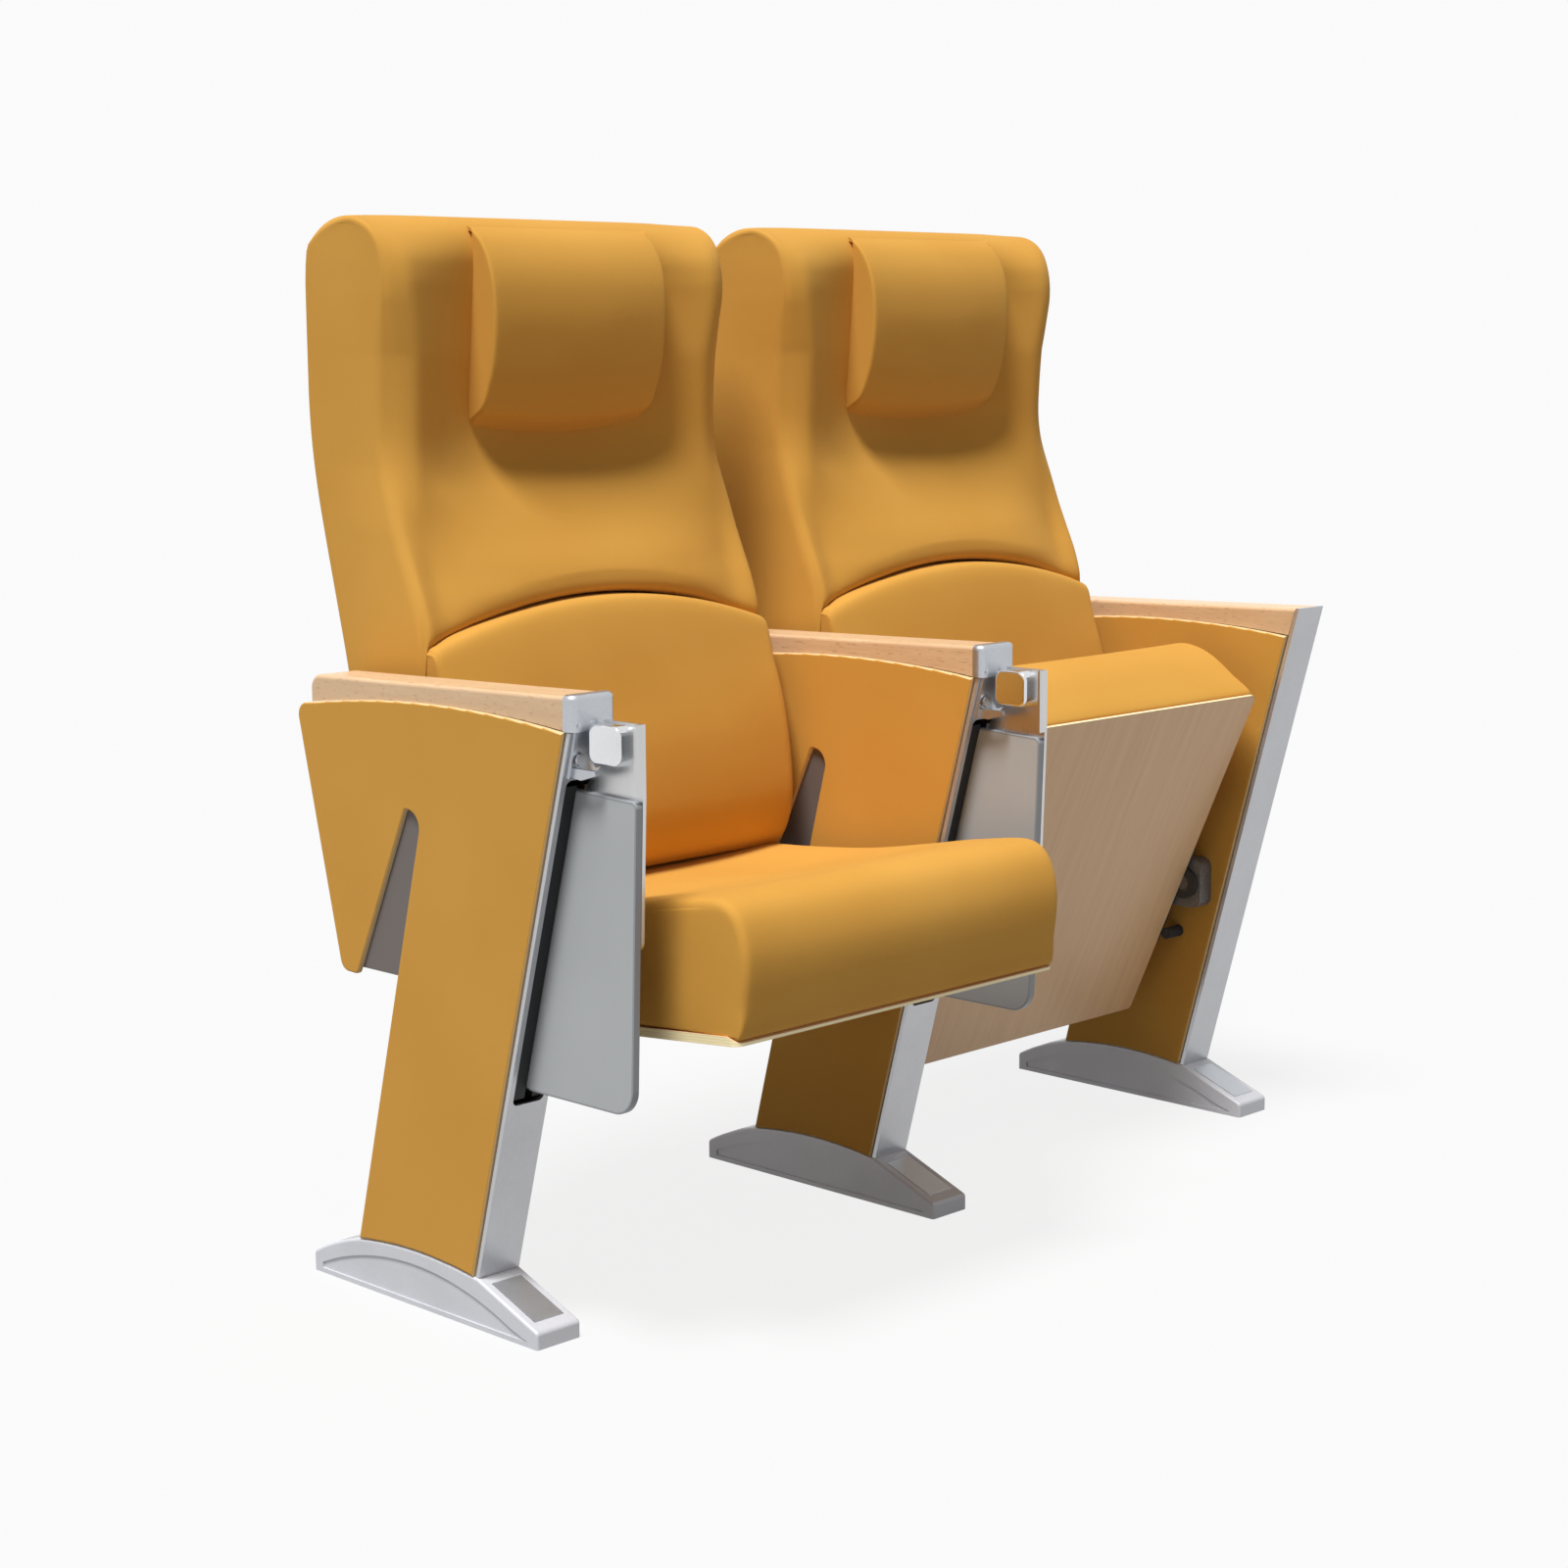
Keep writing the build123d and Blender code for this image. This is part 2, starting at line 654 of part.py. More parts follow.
def make_hinge_block(side, x):
    """Cast end cap of the armrest with the fixed ear of the tablet hinge."""
    low = channel_top_z + 3
    high = panel_top_z + 8
    with BuildPart() as block:
        with BuildSketch(Plane.XY.offset(panel_top_z + 1)) as cap:
            with Locations((x, (cap_front_y + cap_rear_y) / 2)):
                Rectangle(2 * foot_half, cap_rear_y - cap_front_y)
            fillet(cap.vertices().group_by(Axis.Y)[0], cap_corner_r)
        extrude(amount=cap_top_z - panel_top_z - 1)
        fillet(block.faces().sort_by(Axis.Z)[-1].edges().sort_by(Axis.Y)[:-1], 5)
        with BuildSketch(side_plane(x - block_half)):
            Polygon(
                (cap_front_y, high),
                (block_front(low), low),
                (front_y(low) - running_gap, low),
                (front_y(panel_top_z) - running_gap, panel_top_z),
                (front_y(panel_top_z) - running_gap, high),
                align=None,
            )
        extrude(amount=2 * block_half)
        with BuildSketch(side_plane(x + ear_low_x)):
            with Locations((tablet_pivot_y, tablet_pivot_z)):
                Circle(ear_r)
            Polygon(
                (tablet_pivot_y, tablet_pivot_z + ear_r),
                (cap_front_y + 1, panel_top_z + 4),
                (block_front(low) + 2, low + 6),
                (tablet_pivot_y + 2, tablet_pivot_z - ear_r),
                align=None,
            )
        extrude(amount=ear_thickness)
        with BuildSketch(side_plane(x + stop_lug_x[0])):
            Polygon(*stop_lug, align=None)
        extrude(amount=stop_lug_x[1] - stop_lug_x[0])
        with BuildSketch(side_plane(x + ear_low_x)):
            with Locations((tablet_pivot_y, tablet_pivot_z)):
                Circle(hinge_pin_r + pin_clearance)
        extrude(amount=ear_thickness, mode=Mode.SUBTRACT)
        with BuildSketch(Plane.XZ.offset(-cap_front_y)):
            with Locations((x + hinge_screw_x, hinge_screw_z)):
                Circle(hinge_screw_r + pin_clearance)
        extrude(amount=cap_front_y - cap_rear_y, mode=Mode.SUBTRACT)
    save(block, f"hinge_block_{side}")


def make_hinge_screws():
    """Screws that hold the hinge blocks to the standards' front strips."""
    front = block_front(hinge_screw_z)
    shank_top_z = hinge_screw_z + hinge_screw_r
    with BuildPart() as screws:
        for side in tablet_sides:
            place = (standards[side] + hinge_screw_x, hinge_screw_z)
            with BuildSketch(Plane.XZ.offset(-front + hinge_screw_lift)):
                with Locations(place):
                    Circle(hinge_screw_head_r)
            extrude(amount=hinge_screw_head)
            with BuildSketch(Plane.XZ.offset(-front + hinge_screw_lift)):
                with Locations(place):
                    Circle(hinge_screw_r)
            extrude(amount=front - hinge_screw_lift - front_y(shank_top_z) + running_gap)
    save(screws, "hinge_screws")


def make_hinge_pins():
    """Headed steel pins on which the tablets turn, fixed in the blocks' ears."""
    start = knuckle_low_x + knuckle_face + running_gap
    head = ear_low_x + ear_thickness
    with BuildPart() as pins:
        for side in tablet_sides:
            x = standards[side]
            with BuildSketch(side_plane(x + start)):
                with Locations((tablet_pivot_y, tablet_pivot_z)):
                    Circle(hinge_pin_r)
            extrude(amount=head - start + hinge_pin_head)
            with BuildSketch(side_plane(x + head + pin_clearance)):
                with Locations((tablet_pivot_y, tablet_pivot_z)):
                    Circle(hinge_pin_head_r)
            extrude(amount=hinge_pin_head)
    save(pins, "hinge_pins")


def make_knuckle(side, x):
    """Turning knuckle: a rounded chrome block on the end of the hinge pin."""
    with BuildPart() as knuckle:
        with BuildSketch(side_plane(x + knuckle_low_x)):
            with Locations((tablet_pivot_y, tablet_pivot_z)):
                RectangleRounded(2 * knuckle_half_y, 2 * knuckle_half_z, knuckle_corner_r)
        extrude(amount=plate_low_x - knuckle_low_x)
        fillet(knuckle.faces().sort_by(Axis.X)[0].edges(), 3)
        with BuildSketch(side_plane(x + knuckle_low_x + knuckle_face)):
            with Locations((tablet_pivot_y, tablet_pivot_z)):
                Circle(hinge_pin_r + pin_clearance)
        extrude(amount=plate_low_x - knuckle_low_x, mode=Mode.SUBTRACT)
    save(knuckle, f"tablet_knuckle_{side}")


def board_front(z):
    """Front edge of the hanging tablet at height z."""
    share = (board_top_front_z - z) / (board_top_front_z - board_bottom_z)
    return board_front_top_y + (board_front_low_y - board_front_top_y) * share


def board_outline(inset):
    """Corner points of the tablet's outline, drawn in by inset."""
    return [
        (board_front_top_y + inset, board_top_front_z - inset),
        (board_rear_y - inset, board_top_rear_z - inset),
        (board_rear_y - inset, board_bottom_z + inset),
        (board_front_low_y + inset, board_bottom_z + inset),
    ]


def make_board(side, x):
    """Writing tablet inside its edging."""
    with BuildPart() as board:
        with BuildSketch(side_plane(x + board_low_x)) as profile:
            Polygon(*board_outline(edging), align=None)
            for point, radius in zip(board_outline(edging), (4, 10, 28, board_corner_r - edging)):
                fillet(corners(profile, [point]), radius)
        extrude(amount=board_thickness)
        with BuildSketch(side_plane(x + plate_low_x)):
            with Locations(*tablet_screw_places()):
                Circle(tablet_screw_r + pin_clearance)
        extrude(amount=-tablet_screw_grip, mode=Mode.SUBTRACT)
    save(board, f"tablet_board_{side}")


def make_edging(side, x):
    """Moulded edging, a closed band round the tablet."""
    with BuildPart() as band:
        with BuildSketch(side_plane(x + board_low_x)) as profile:
            Polygon(*board_outline(0), align=None)
            for point, radius in zip(board_outline(0), (6, 12, 30, board_corner_r)):
                fillet(corners(profile, [point]), radius)
        extrude(amount=board_thickness)
        fillet(band.edges().filter_by(Plane.YZ), 0.8)
        with BuildSketch(side_plane(x + board_low_x)) as inner:
            Polygon(*board_outline(edging), align=None)
            for point, radius in zip(board_outline(edging), (4, 10, 28, board_corner_r - edging)):
                fillet(corners(inner, [point]), radius)
        extrude(amount=board_thickness, mode=Mode.SUBTRACT)
    save(band, f"tablet_edging_{side}")


def make_bracket(side, x):
    """Steel plate from the knuckle down the tablet's face, flanged in front."""
    flange_low = board_top_front_z + 6
    rear_high = tablet_pivot_y + knuckle_half_y - 2
    with BuildPart() as bracket:
        with BuildSketch(side_plane(x + plate_low_x)) as profile:
            Polygon(
                (bracket_front_y, bracket_top_z),
                (bracket_front_y, flange_low),
                (board_front(bracket_low_z), bracket_low_z),
                (board_front(bracket_low_z) + bracket_depth - 12, bracket_low_z),
                (board_front_top_y + 74, board_top_front_z - 30),
                (board_front_top_y + 74, board_top_front_z + 10),
                (rear_high, tablet_pivot_z - knuckle_half_z),
                (rear_high, bracket_top_z),
                align=None,
            )
            fillet(
                corners(
                    profile,
                    [
                        (board_front(bracket_low_z), bracket_low_z),
                        (board_front(bracket_low_z) + bracket_depth - 12, bracket_low_z),
                        (board_front_top_y + 74, board_top_front_z + 10),
                    ],
                ),
                8,
            )
        extrude(amount=bracket_plate)
        with BuildSketch(side_plane(x + board_low_x)):
            Polygon(
                (bracket_front_y, bracket_top_z),
                (bracket_front_y, flange_low),
                (bracket_front_y + bracket_flange, flange_low),
                (bracket_front_y + bracket_flange, bracket_top_z),
                align=None,
            )
        extrude(amount=board_thickness + bracket_plate)
        with BuildSketch(side_plane(x + plate_low_x)):
            with Locations((tablet_pivot_y, tablet_pivot_z)):
                Circle(hinge_pin_r + pin_clearance)
            with Locations(*tablet_screw_places()):
                Circle(tablet_screw_r + pin_clearance)
        extrude(amount=bracket_plate, mode=Mode.SUBTRACT)
    save(bracket, f"tablet_bracket_{side}")


def tablet_screw_places():
    """Where the tablet's screws go, on the bracket's plate."""
    low = bracket_low_z + 16
    high = board_top_front_z - 18
    return [
        (board_front(low) + 18, low),
        (board_front(high) + 18, high),
        (board_front(high) + 52, high - 4),
    ]


def make_tablet_screws(side, x):
    """Screws that hold the tablet to its bracket, heads on the plate."""
    face = x + plate_low_x + bracket_plate
    with BuildPart() as screws:
        with BuildSketch(side_plane(face + 0.1)):
            with Locations(*tablet_screw_places()):
                Circle(tablet_screw_head_r)
        extrude(amount=tablet_screw_head)
        with BuildSketch(side_plane(face + 0.1)):
            with Locations(*tablet_screw_places()):
                Circle(tablet_screw_r)
        extrude(amount=-bracket_plate - tablet_screw_grip + running_gap)
    save(screws, f"tablet_screws_{side}")


# ----------------------------------------------------------------------- seats
def cushion_section(plane, inset, sag):
    """Closed side profile of the seat cushion, drawn from the pivot."""
    base = pan_thickness + running_gap + inset * 0.4
    lip = pan_lip + running_gap + 0.1 + inset * 0.4
    crest = cushion_height + pan_thickness - inset
    front = cushion_front + inset
    rear = pan_length - cushion_rear - inset
    low_front = pan_point(front, lip + front * (pan_thickness - pan_lip) / pan_bevel)
    low_bevel = pan_point(max(pan_bevel, front + 1), base)
    bulge = cushion_overhang
    front_bulge = pan_point(front - bulge, base + 0.5 * cushion_height)
    roll_start = pan_point(front - 0.76 * bulge, crest - 28)
    roll_mid = pan_point(front - 1, crest - 8)
    roll_end = pan_point(front + 24, crest)
    dish = pan_point(0.52 * pan_length, crest - 17 - sag)
    top_rear = pan_point(rear - 22, crest - 17 - 0.5 * sag)
    rear_mid = pan_point(rear - 5, crest - 24 - 0.5 * sag)
    rear_top = pan_point(rear, crest - 38 - 0.5 * sag)
    low_rear = pan_point(rear, base)
    with BuildSketch(plane) as section:
        with BuildLine():
            ThreePointArc(low_front, front_bulge, roll_start)
            ThreePointArc(roll_start, roll_mid, roll_end)
            ThreePointArc(roll_end, dish, top_rear)
            ThreePointArc(top_rear, rear_mid, rear_top)
            Polyline(rear_top, low_rear, low_bevel, low_front)
        make_face()
    return section.sketch


# Stations across a cushion, as (share of its half width, inset of the outline).
lumbar_stations = [(1.0, 12.0), (0.985, 5.0), (0.95, 1.5), (0.9, 0.0), (0.65, 0.0), (0.35, 0.0)]
pillow_stations = [(1.0, 11.0), (0.975, 4.0), (0.93, 0.0), (0.65, 0.0), (0.33, 0.0)]
cushion_stations = [
    (1.0, 13.0, 0.0),
    (0.985, 6.5, 0.0),
    (0.955, 2.0, 0.0),
    (0.90, 0.0, 0.0),
    (0.70, 0.0, 0.55),
    (0.40, 0.0, 1.0),
]


def frame_bars(grow, reach):
    """Plan of the seat frame's flat bars on the pan, cross bars out to reach."""
    low, high = cross_bar_at
    with BuildSketch() as bars:
        for along in cross_bar_at:
            with Locations((0, along + bar_width / 2)):
                Rectangle(2 * reach, bar_width + 2 * grow)
        for across in long_bar_at:
            with Locations((across, (long_bar_from + high) / 2)):
                Rectangle(bar_width + 2 * grow, high - long_bar_from + 2 * grow)
    return bars.sketch


def screw_places():
    """Where the seat screws go, on the pan."""
    return [(across, long_bar_from + bar_width) for across in long_bar_at] + [
        (across, cross_bar_at[1] + bar_width / 2) for across in long_bar_at
    ]


def make_seat_cushion(name, x, tip):
    """Crowned foam cushion with a front roll and low side bolsters."""
    rows = [(-share, inset, dip) for share, inset, dip in cushion_stations]
    rows += [(0.0, 0.0, 1.1)]
    rows += [(share, inset, dip) for share, inset, dip in reversed(cushion_stations)]
    sections = []
    for share, inset, dip in rows:
        plane = seat_plane(x + share * cushion_half, tip)
        sections.append(cushion_section(plane, inset, cushion_bolster * dip))
    with BuildPart() as cushion:
        loft(sections=sections, ruled=True)
        with BuildSketch(pan_plane(x, tip, 0)):
            add(frame_bars(running_gap, seat_gap))
        extrude(amount=pan_thickness + bar_height + 2 * running_gap, mode=Mode.SUBTRACT)
    save(cushion, f"seat_cushion_{name}")


def make_seat_pan(name, x, tip):
    """Moulded beech plywood pan under the cushion."""
    with BuildPart() as pan:
        with BuildSketch(pan_plane(x, tip, 0)) as outline:
            with Locations((0, pan_length / 2)):
                Rectangle(2 * pan_half, pan_length)
            fillet(outline.vertices().group_by(Axis.Y)[0], pan_front_r)
            fillet(outline.vertices().group_by(Axis.Y)[-1], pan_rear_r)
        extrude(amount=pan_thickness)
        with BuildSketch(pan_plane(x, tip, pan_thickness)):
            with Locations(*screw_places()):
                Circle(seat_screw_r + pin_clearance)
        extrude(amount=-seat_screw_grip - pin_clearance, mode=Mode.SUBTRACT)
        with BuildSketch(seat_plane(x - pan_half, tip)):
            Polygon(
                pan_point(0, pan_lip),
                pan_point(pan_bevel, pan_thickness),
                pan_point(pan_bevel, pan_thickness + 1),
                pan_point(-1, pan_thickness + 1),
                pan_point(-1, pan_lip),
                align=None,
            )
        extrude(amount=2 * pan_half, mode=Mode.SUBTRACT)
    save(pan, f"seat_pan_{name}")


def make_seat_frame(name, x, tip):
    """Welded steel frame: ladder of flat bars on the pan, side arms with hubs."""
    with BuildPart() as frame:
        for start in (x + arm_inner, x - arm_outer):
            with BuildSketch(seat_plane(start, tip)):
                Polygon(
                    pan_point(arm_from, 1),
                    pan_point(arm_to, 1),
                    pan_point(arm_to, seat_arm_height),
                    pan_point(arm_from, seat_arm_height),
                    align=None,
                )
                Circle(seat_hub_r)
            extrude(amount=seat_arm)
        with BuildSketch(pan_plane(x, tip, pan_thickness + running_gap)):
            add(frame_bars(0, arm_inner + 1))
        extrude(amount=bar_height)
        with BuildSketch(pan_plane(x, tip, pan_thickness)):
            with Locations(*screw_places()):
                Circle(seat_screw_r + pin_clearance)
        extrude(amount=2 * bar_height, mode=Mode.SUBTRACT)
        with BuildSketch(seat_plane(x - arm_outer, tip)):
            Circle(pivot_pin_r + bush_wall + pin_clearance)
        extrude(amount=2 * arm_outer, mode=Mode.SUBTRACT)
    save(frame, f"seat_frame_{name}")


def make_seat_bushes(name, x, tip):
    """Nylon bushes in the seat frame's hubs."""
    with BuildPart() as bushes:
        for start in (x + arm_inner, x - arm_outer):
            with BuildSketch(seat_plane(start, tip)):
                Circle(pivot_pin_r + bush_wall)
                Circle(pivot_pin_r + pin_clearance, mode=Mode.SUBTRACT)
            extrude(amount=seat_arm)
    save(bushes, f"seat_bushes_{name}")


def make_seat_screws(name, x, tip):
    """Wood screws from the frame's bars down into the pan."""
    with BuildPart() as screws:
        with BuildSketch(pan_plane(x, tip, pan_thickness - seat_screw_grip)):
            with Locations(*screw_places()):
                Circle(seat_screw_r)
        extrude(amount=seat_screw_grip + bar_height)
    save(screws, f"seat_screws_{name}")


def make_pivot_housings():
    """Cast spring housings on the standards' inner faces, one at each seat end."""
    with BuildPart() as housings:
        for x in seats.values():
            for side in (-1, 1):
                inner = x + side * seat_gap
                with BuildSketch(side_plane(inner)):
                    with Locations((seat_pivot_y, seat_pivot_z)):
                        RectangleRounded(2 * housing_half_y, 2 * housing_half_z, housing_corner_r)
                        Circle(pivot_pin_r + pin_clearance, mode=Mode.SUBTRACT)
                extrude(amount=-side * housing_depth)
                with BuildSketch(side_plane(inner)):
                    with Locations((seat_pivot_y, seat_pivot_z)):
                        Circle(housing_spring_r)
                extrude(amount=-side * housing_spring_depth, mode=Mode.SUBTRACT)
    save(housings, "pivot_housings")


def make_pivot_pins():
    """Steel pivot pins through panel, housing and seat hub."""
    with BuildPart() as pins:
        for x in seats.values():
            for side in (-1, 1):
                start = x + side * (seat_pitch / 2 - core_wall)
                end = x + side * (arm_inner - running_gap)
                with BuildSketch(side_plane(min(start, end))):
                    with Locations((seat_pivot_y, seat_pivot_z)):
                        Circle(pivot_pin_r)
                extrude(amount=abs(end - start))
    save(pins, "pivot_pins")


def make_return_springs():
    """Flat spiral springs inside the housings, wound round the pivot pins."""
    with BuildPart() as springs:
        for x in seats.values():
            for side in (-1, 1):
                inner = x + side * seat_gap
                start = inner - side * (housing_spring_depth - spring_width) / 2
                low = start if side < 0 else start - spring_width
                with BuildSketch(side_plane(low)) as coil:
                    with BuildLine() as spiral:
                        for half_turn in range(spring_half_turns):
                            radius = pivot_pin_r + 1.5 + spring_pitch * half_turn / 2
                            shift = spring_pitch / 4 * (1 if half_turn % 2 else -1)
                            CenterArc(
                                (seat_pivot_y + shift, seat_pivot_z),
                                radius,
                                180 * (half_turn % 2),
                                180,
                            )
                    trace(line_width=spring_strip)
                extrude(amount=spring_width)
    save(springs, "return_springs")


def make_stop_bumpers():
    """Rubber stops on the standards: over each arm's tail when down, under it when up."""
    places = [
        seat_point(0, *pan_point(stop_at, seat_arm_height + bumper_r + running_gap)),
        seat_point(tip_angle, *pan_point(stop_at, 1 - bumper_r - running_gap)),
    ]
    with BuildPart() as bumpers:
        for x in seats.values():
            for side in (-1, 1):
                start = x + side * seat_gap
                end = x + side * (arm_inner + 1)
                with BuildSketch(side_plane(min(start, end))):
                    with Locations(*places):
                        Circle(bumper_r)
                extrude(amount=abs(end - start))
    save(bumpers, "stop_bumpers")


# ----------------------------------------------------------------------- backs
def back_section(plane, half, ridge_y, middle_y, back_y):
    """Plan outline of the back, its wings to the front."""
    wing = min(back_wing_depth, 0.45 * (back_y - ridge_y))
    round_r = min(back_corner_r, 0.25 * (back_y - ridge_y))
    inner = half - back_wing_width
    blend = ridge_y + 0.32 * (middle_y - ridge_y)
    cut = round_r * (1 - math.sqrt(0.5))
    corner_y = back_y - round_r
    with BuildSketch(plane) as section:
        with BuildLine():
            Line((-half + round_r, back_y), (half - round_r, back_y))
            ThreePointArc((half - round_r, back_y), (half - cut, back_y - cut), (half, corner_y))
            Line((half, corner_y), (half, ridge_y + wing))
            turn = wing * (1 - math.sqrt(0.5))
            ThreePointArc((half, ridge_y + wing), (half - turn, ridge_y + turn), (half - wing, ridge_y))
            Line((half - wing, ridge_y), (inner, blend))
            ThreePointArc((inner, blend), (0, middle_y), (-inner, blend))
            Line((-inner, blend), (-half + wing, ridge_y))
            ThreePointArc((-half + wing, ridge_y), (-half + turn, ridge_y + turn), (-half, ridge_y + wing))
            Line((-half, ridge_y + wing), (-half, corner_y))
            ThreePointArc((-half, corner_y), (-half + cut, back_y - cut), (-half + round_r, back_y))
        make_face()
    return section.sketch


def rear_band(x, low, high, front_depth, rear_depth):
    """Side profile at x of a slab between two depths from the back's rear face."""
    heights = [low] + [z for z, _ in rear_line if low < z < high] + [high]
    rear = [(rear_y(z) - rear_depth, z) for z in heights]
    front = [(rear_y(z) - front_depth, z) for z in reversed(heights)]
    with BuildSketch(side_plane(x)) as band:
        Polygon(*rear, *front, align=None)
    return band.sketch


def make_back_cushion(name, x):
    """Upper back cushion: winged, swept forward to the arched seam, open behind."""
    sections = []
    for z, ridge_y, middle_y in front_line:
        plane = Plane(origin=(x, 0, z))
        sections.append(back_section(plane, back_half, ridge_y, middle_y, rear_y(z)))
    for drop, side_inset, front, rear_inset in top_roll:
        plane = Plane(origin=(x, 0, back_top_z - drop))
        back_y = rear_line[-1][1] - rear_inset
        sections.append(back_section(plane, back_half - side_inset, front, front + 4, back_y))
    pocket_half = shell_half + 1
    pocket_depth = rear_shell + frame_depth + 1
    pocket = rear_band(x - pocket_half, 0.9 * shell_low_z, shell_top_z + 1, pocket_depth, -foot_half)
    with BuildPart() as cushion:
        loft(sections=sections, ruled=True)
        extrude(pocket, amount=2 * pocket_half, mode=Mode.SUBTRACT)
        with BuildSketch(Plane.XZ):
            with BuildLine():
                reach = lumbar_half + running_gap
                side_z = arch_end_z + seam_gap
                ThreePointArc((x - reach, side_z), (x, arch_top_z + seam_gap), (x + reach, side_z))
                Polyline((x + reach, side_z), (x + reach, 0), (x - reach, 0), (x - reach, side_z))
            make_face()
        extrude(amount=foot_length, both=True, mode=Mode.SUBTRACT)
    save(cushion, f"back_cushion_{name}")


def lumbar_section(plane, across, inset):
    """Side profile of the lumbar cushion, across from the seat's middle, drawn in by inset."""
    crown = lumbar_crown * (1 - (across / lumbar_half) ** 2) - inset
    top = arch(across) - 0.3 * inset
    low = lumbar_bottom_z + 0.3 * inset
    depth = rear_shell + frame_depth + running_gap
    rear_low = (rear_y(low) - depth, low)
    rear_top = (rear_y(top) - depth, top)
    front_top = (lumbar_seam_y + inset * 0.5, top)
    upper = (lumbar_waist_y + 17 - 0.7 * crown, 0.62 * arch_end_z + 0.38 * lumbar_waist_z)
    waist = (lumbar_waist_y - crown, lumbar_waist_z)
    lower = (lumbar_waist_y + 3 - 0.8 * crown, 0.5 * (lumbar_waist_z + low))
    front_low = (lumbar_waist_y + 18 - 0.5 * crown, low)
    with BuildSketch(plane) as section:
        with BuildLine():
            ThreePointArc(front_top, upper, waist)
            ThreePointArc(waist, lower, front_low)
            Polyline(front_low, rear_low, rear_top, front_top)
        make_face()
    return section.sketch


def make_lumbar_cushion(name, x):
    """Lumbar cushion under the arched seam, bulging forward."""
    rows = [(-share, inset) for share, inset in lumbar_stations]
    rows += [(0.0, 0.0)]
    rows += [(share, inset) for share, inset in reversed(lumbar_stations)]
    sections = []
    for share, inset in rows:
        across = share * lumbar_half
        sections.append(lumbar_section(side_plane(x + across), across, inset))
    with BuildPart() as cushion:
        loft(sections=sections, ruled=True)
    save(cushion, f"lumbar_cushion_{name}")


def pillow_section(plane, across, inset):
    """Lens-shaped side profile of the head pillow, resting on the back's hollow."""
    share = across / pillow_half
    rear = pillow_rear_y - 2.3 * running_gap - pillow_seat_rise * share**2
    low = pillow_low_z + 10 * share**2 + inset
    crown = pillow_crown * (1 - share**2) - 0.75 * inset
    rear_low = (rear - 0.5, low)
    rear_mid = (rear, 985.0)
    rear_top = (pillow_top_y + 6, pillow_top_z - 18)
    front_top = (pillow_top_y + 0.4 * inset, pillow_top_z - 0.5 * inset)
    front_mid = (pillow_front_y - crown, 965.0)
    lip = (pillow_top_y + 0.5 * inset, low + pillow_lip)
    with BuildSketch(plane) as section:
        with BuildLine():
            ThreePointArc(front_top, front_mid, lip)
            Polyline(lip, rear_low, rear_mid, rear_top, front_top)
        make_face()
    return section.sketch


def make_pillow(name, x):
    """Head pillow strapped to the hollow of the back."""
    rows = [(-share, inset) for share, inset in pillow_stations]
    rows += [(0.0, 0.0)]
    rows += [(share, inset) for share, inset in reversed(pillow_stations)]
    sections = []
    for share, inset in rows:
        across = share * pillow_half
        plane = side_plane(x + pillow_offset + across)
        sections.append(pillow_section(plane, across, inset))
    with BuildPart() as pillow:
        loft(sections=sections, ruled=True)
    save(pillow, f"head_pillow_{name}")


def make_rear_shell(name, x):
    """Beech plywood rear shell, let into the upholstery."""
    with BuildPart() as shell:
        extrude(rear_band(x - shell_half, shell_low_z, shell_top_z, rear_shell, 0), amount=2 * shell_half)
        fillet(shell.edges().filter_by(Axis.Y), shell_corner_r)
    save(shell, f"rear_shell_{name}")


def make_back_frames():
    """Steel back frames: two bent posts joined by three cross rails each."""
    top = shell_top_z - 20
    front = rear_shell + frame_depth
    behind = rear_shell + running_gap
    post_out = shell_half - frame_inset
    rail_heights = (back_bracket_z, 0.5 * (back_bracket_z + top), top - frame_rail / 2)
    with BuildPart() as frames:
        for x in seats.values():
            for side in (-1, 1):
                start = x + side * (post_out - frame_post / 2) - frame_post / 2
                extrude(rear_band(start, frame_low_z, top, front, behind), amount=frame_post)
            for z in rail_heights:
                rail = rear_band(x - post_out, z - frame_rail / 2, z + frame_rail / 2, front - 2, behind)
                extrude(rail, amount=2 * post_out)
    save(frames, "back_frames")


def back_bolt_places():
    """Y and Z of the bolts through a back bracket."""
    y = rear_y(back_bracket_z) - rear_shell - frame_depth / 2 - 22
    reach = back_bracket_height / 2 - 16
    return [(y, back_bracket_z - reach), (y, back_bracket_z + reach)]


def make_back_brackets():
    """Steel brackets from the standards' wings to the posts of the back frames."""
    low = back_bracket_z - back_bracket_height / 2
    high = back_bracket_z + back_bracket_height / 2
    front = rear_y(back_bracket_z) - rear_shell - frame_depth - 28
    with BuildPart() as brackets:
        for x in seats.values():
            for side in (-1, 1):
                inner = x + side * seat_gap
                post = x + side * (shell_half - frame_inset)
                with BuildSketch(side_plane(inner if side < 0 else inner - back_bracket_plate)):
                    Polygon(
                        (front, low),
                        (rear_y(low) - rear_shell - 1, low),
                        (rear_y(high) - rear_shell - 1, high),
                        (front, high),
                        align=None,
                    )
                    with Locations(*back_bolt_places()):
                        Circle(bolt_r + pin_clearance, mode=Mode.SUBTRACT)
                extrude(amount=back_bracket_plate)
                depths = (rear_shell + frame_depth - 1, rear_shell + 2)
                arm = rear_band(min(inner, post), low + 15, high - 15, *depths)
                extrude(arm, amount=abs(inner - post))
    save(brackets, "back_brackets")


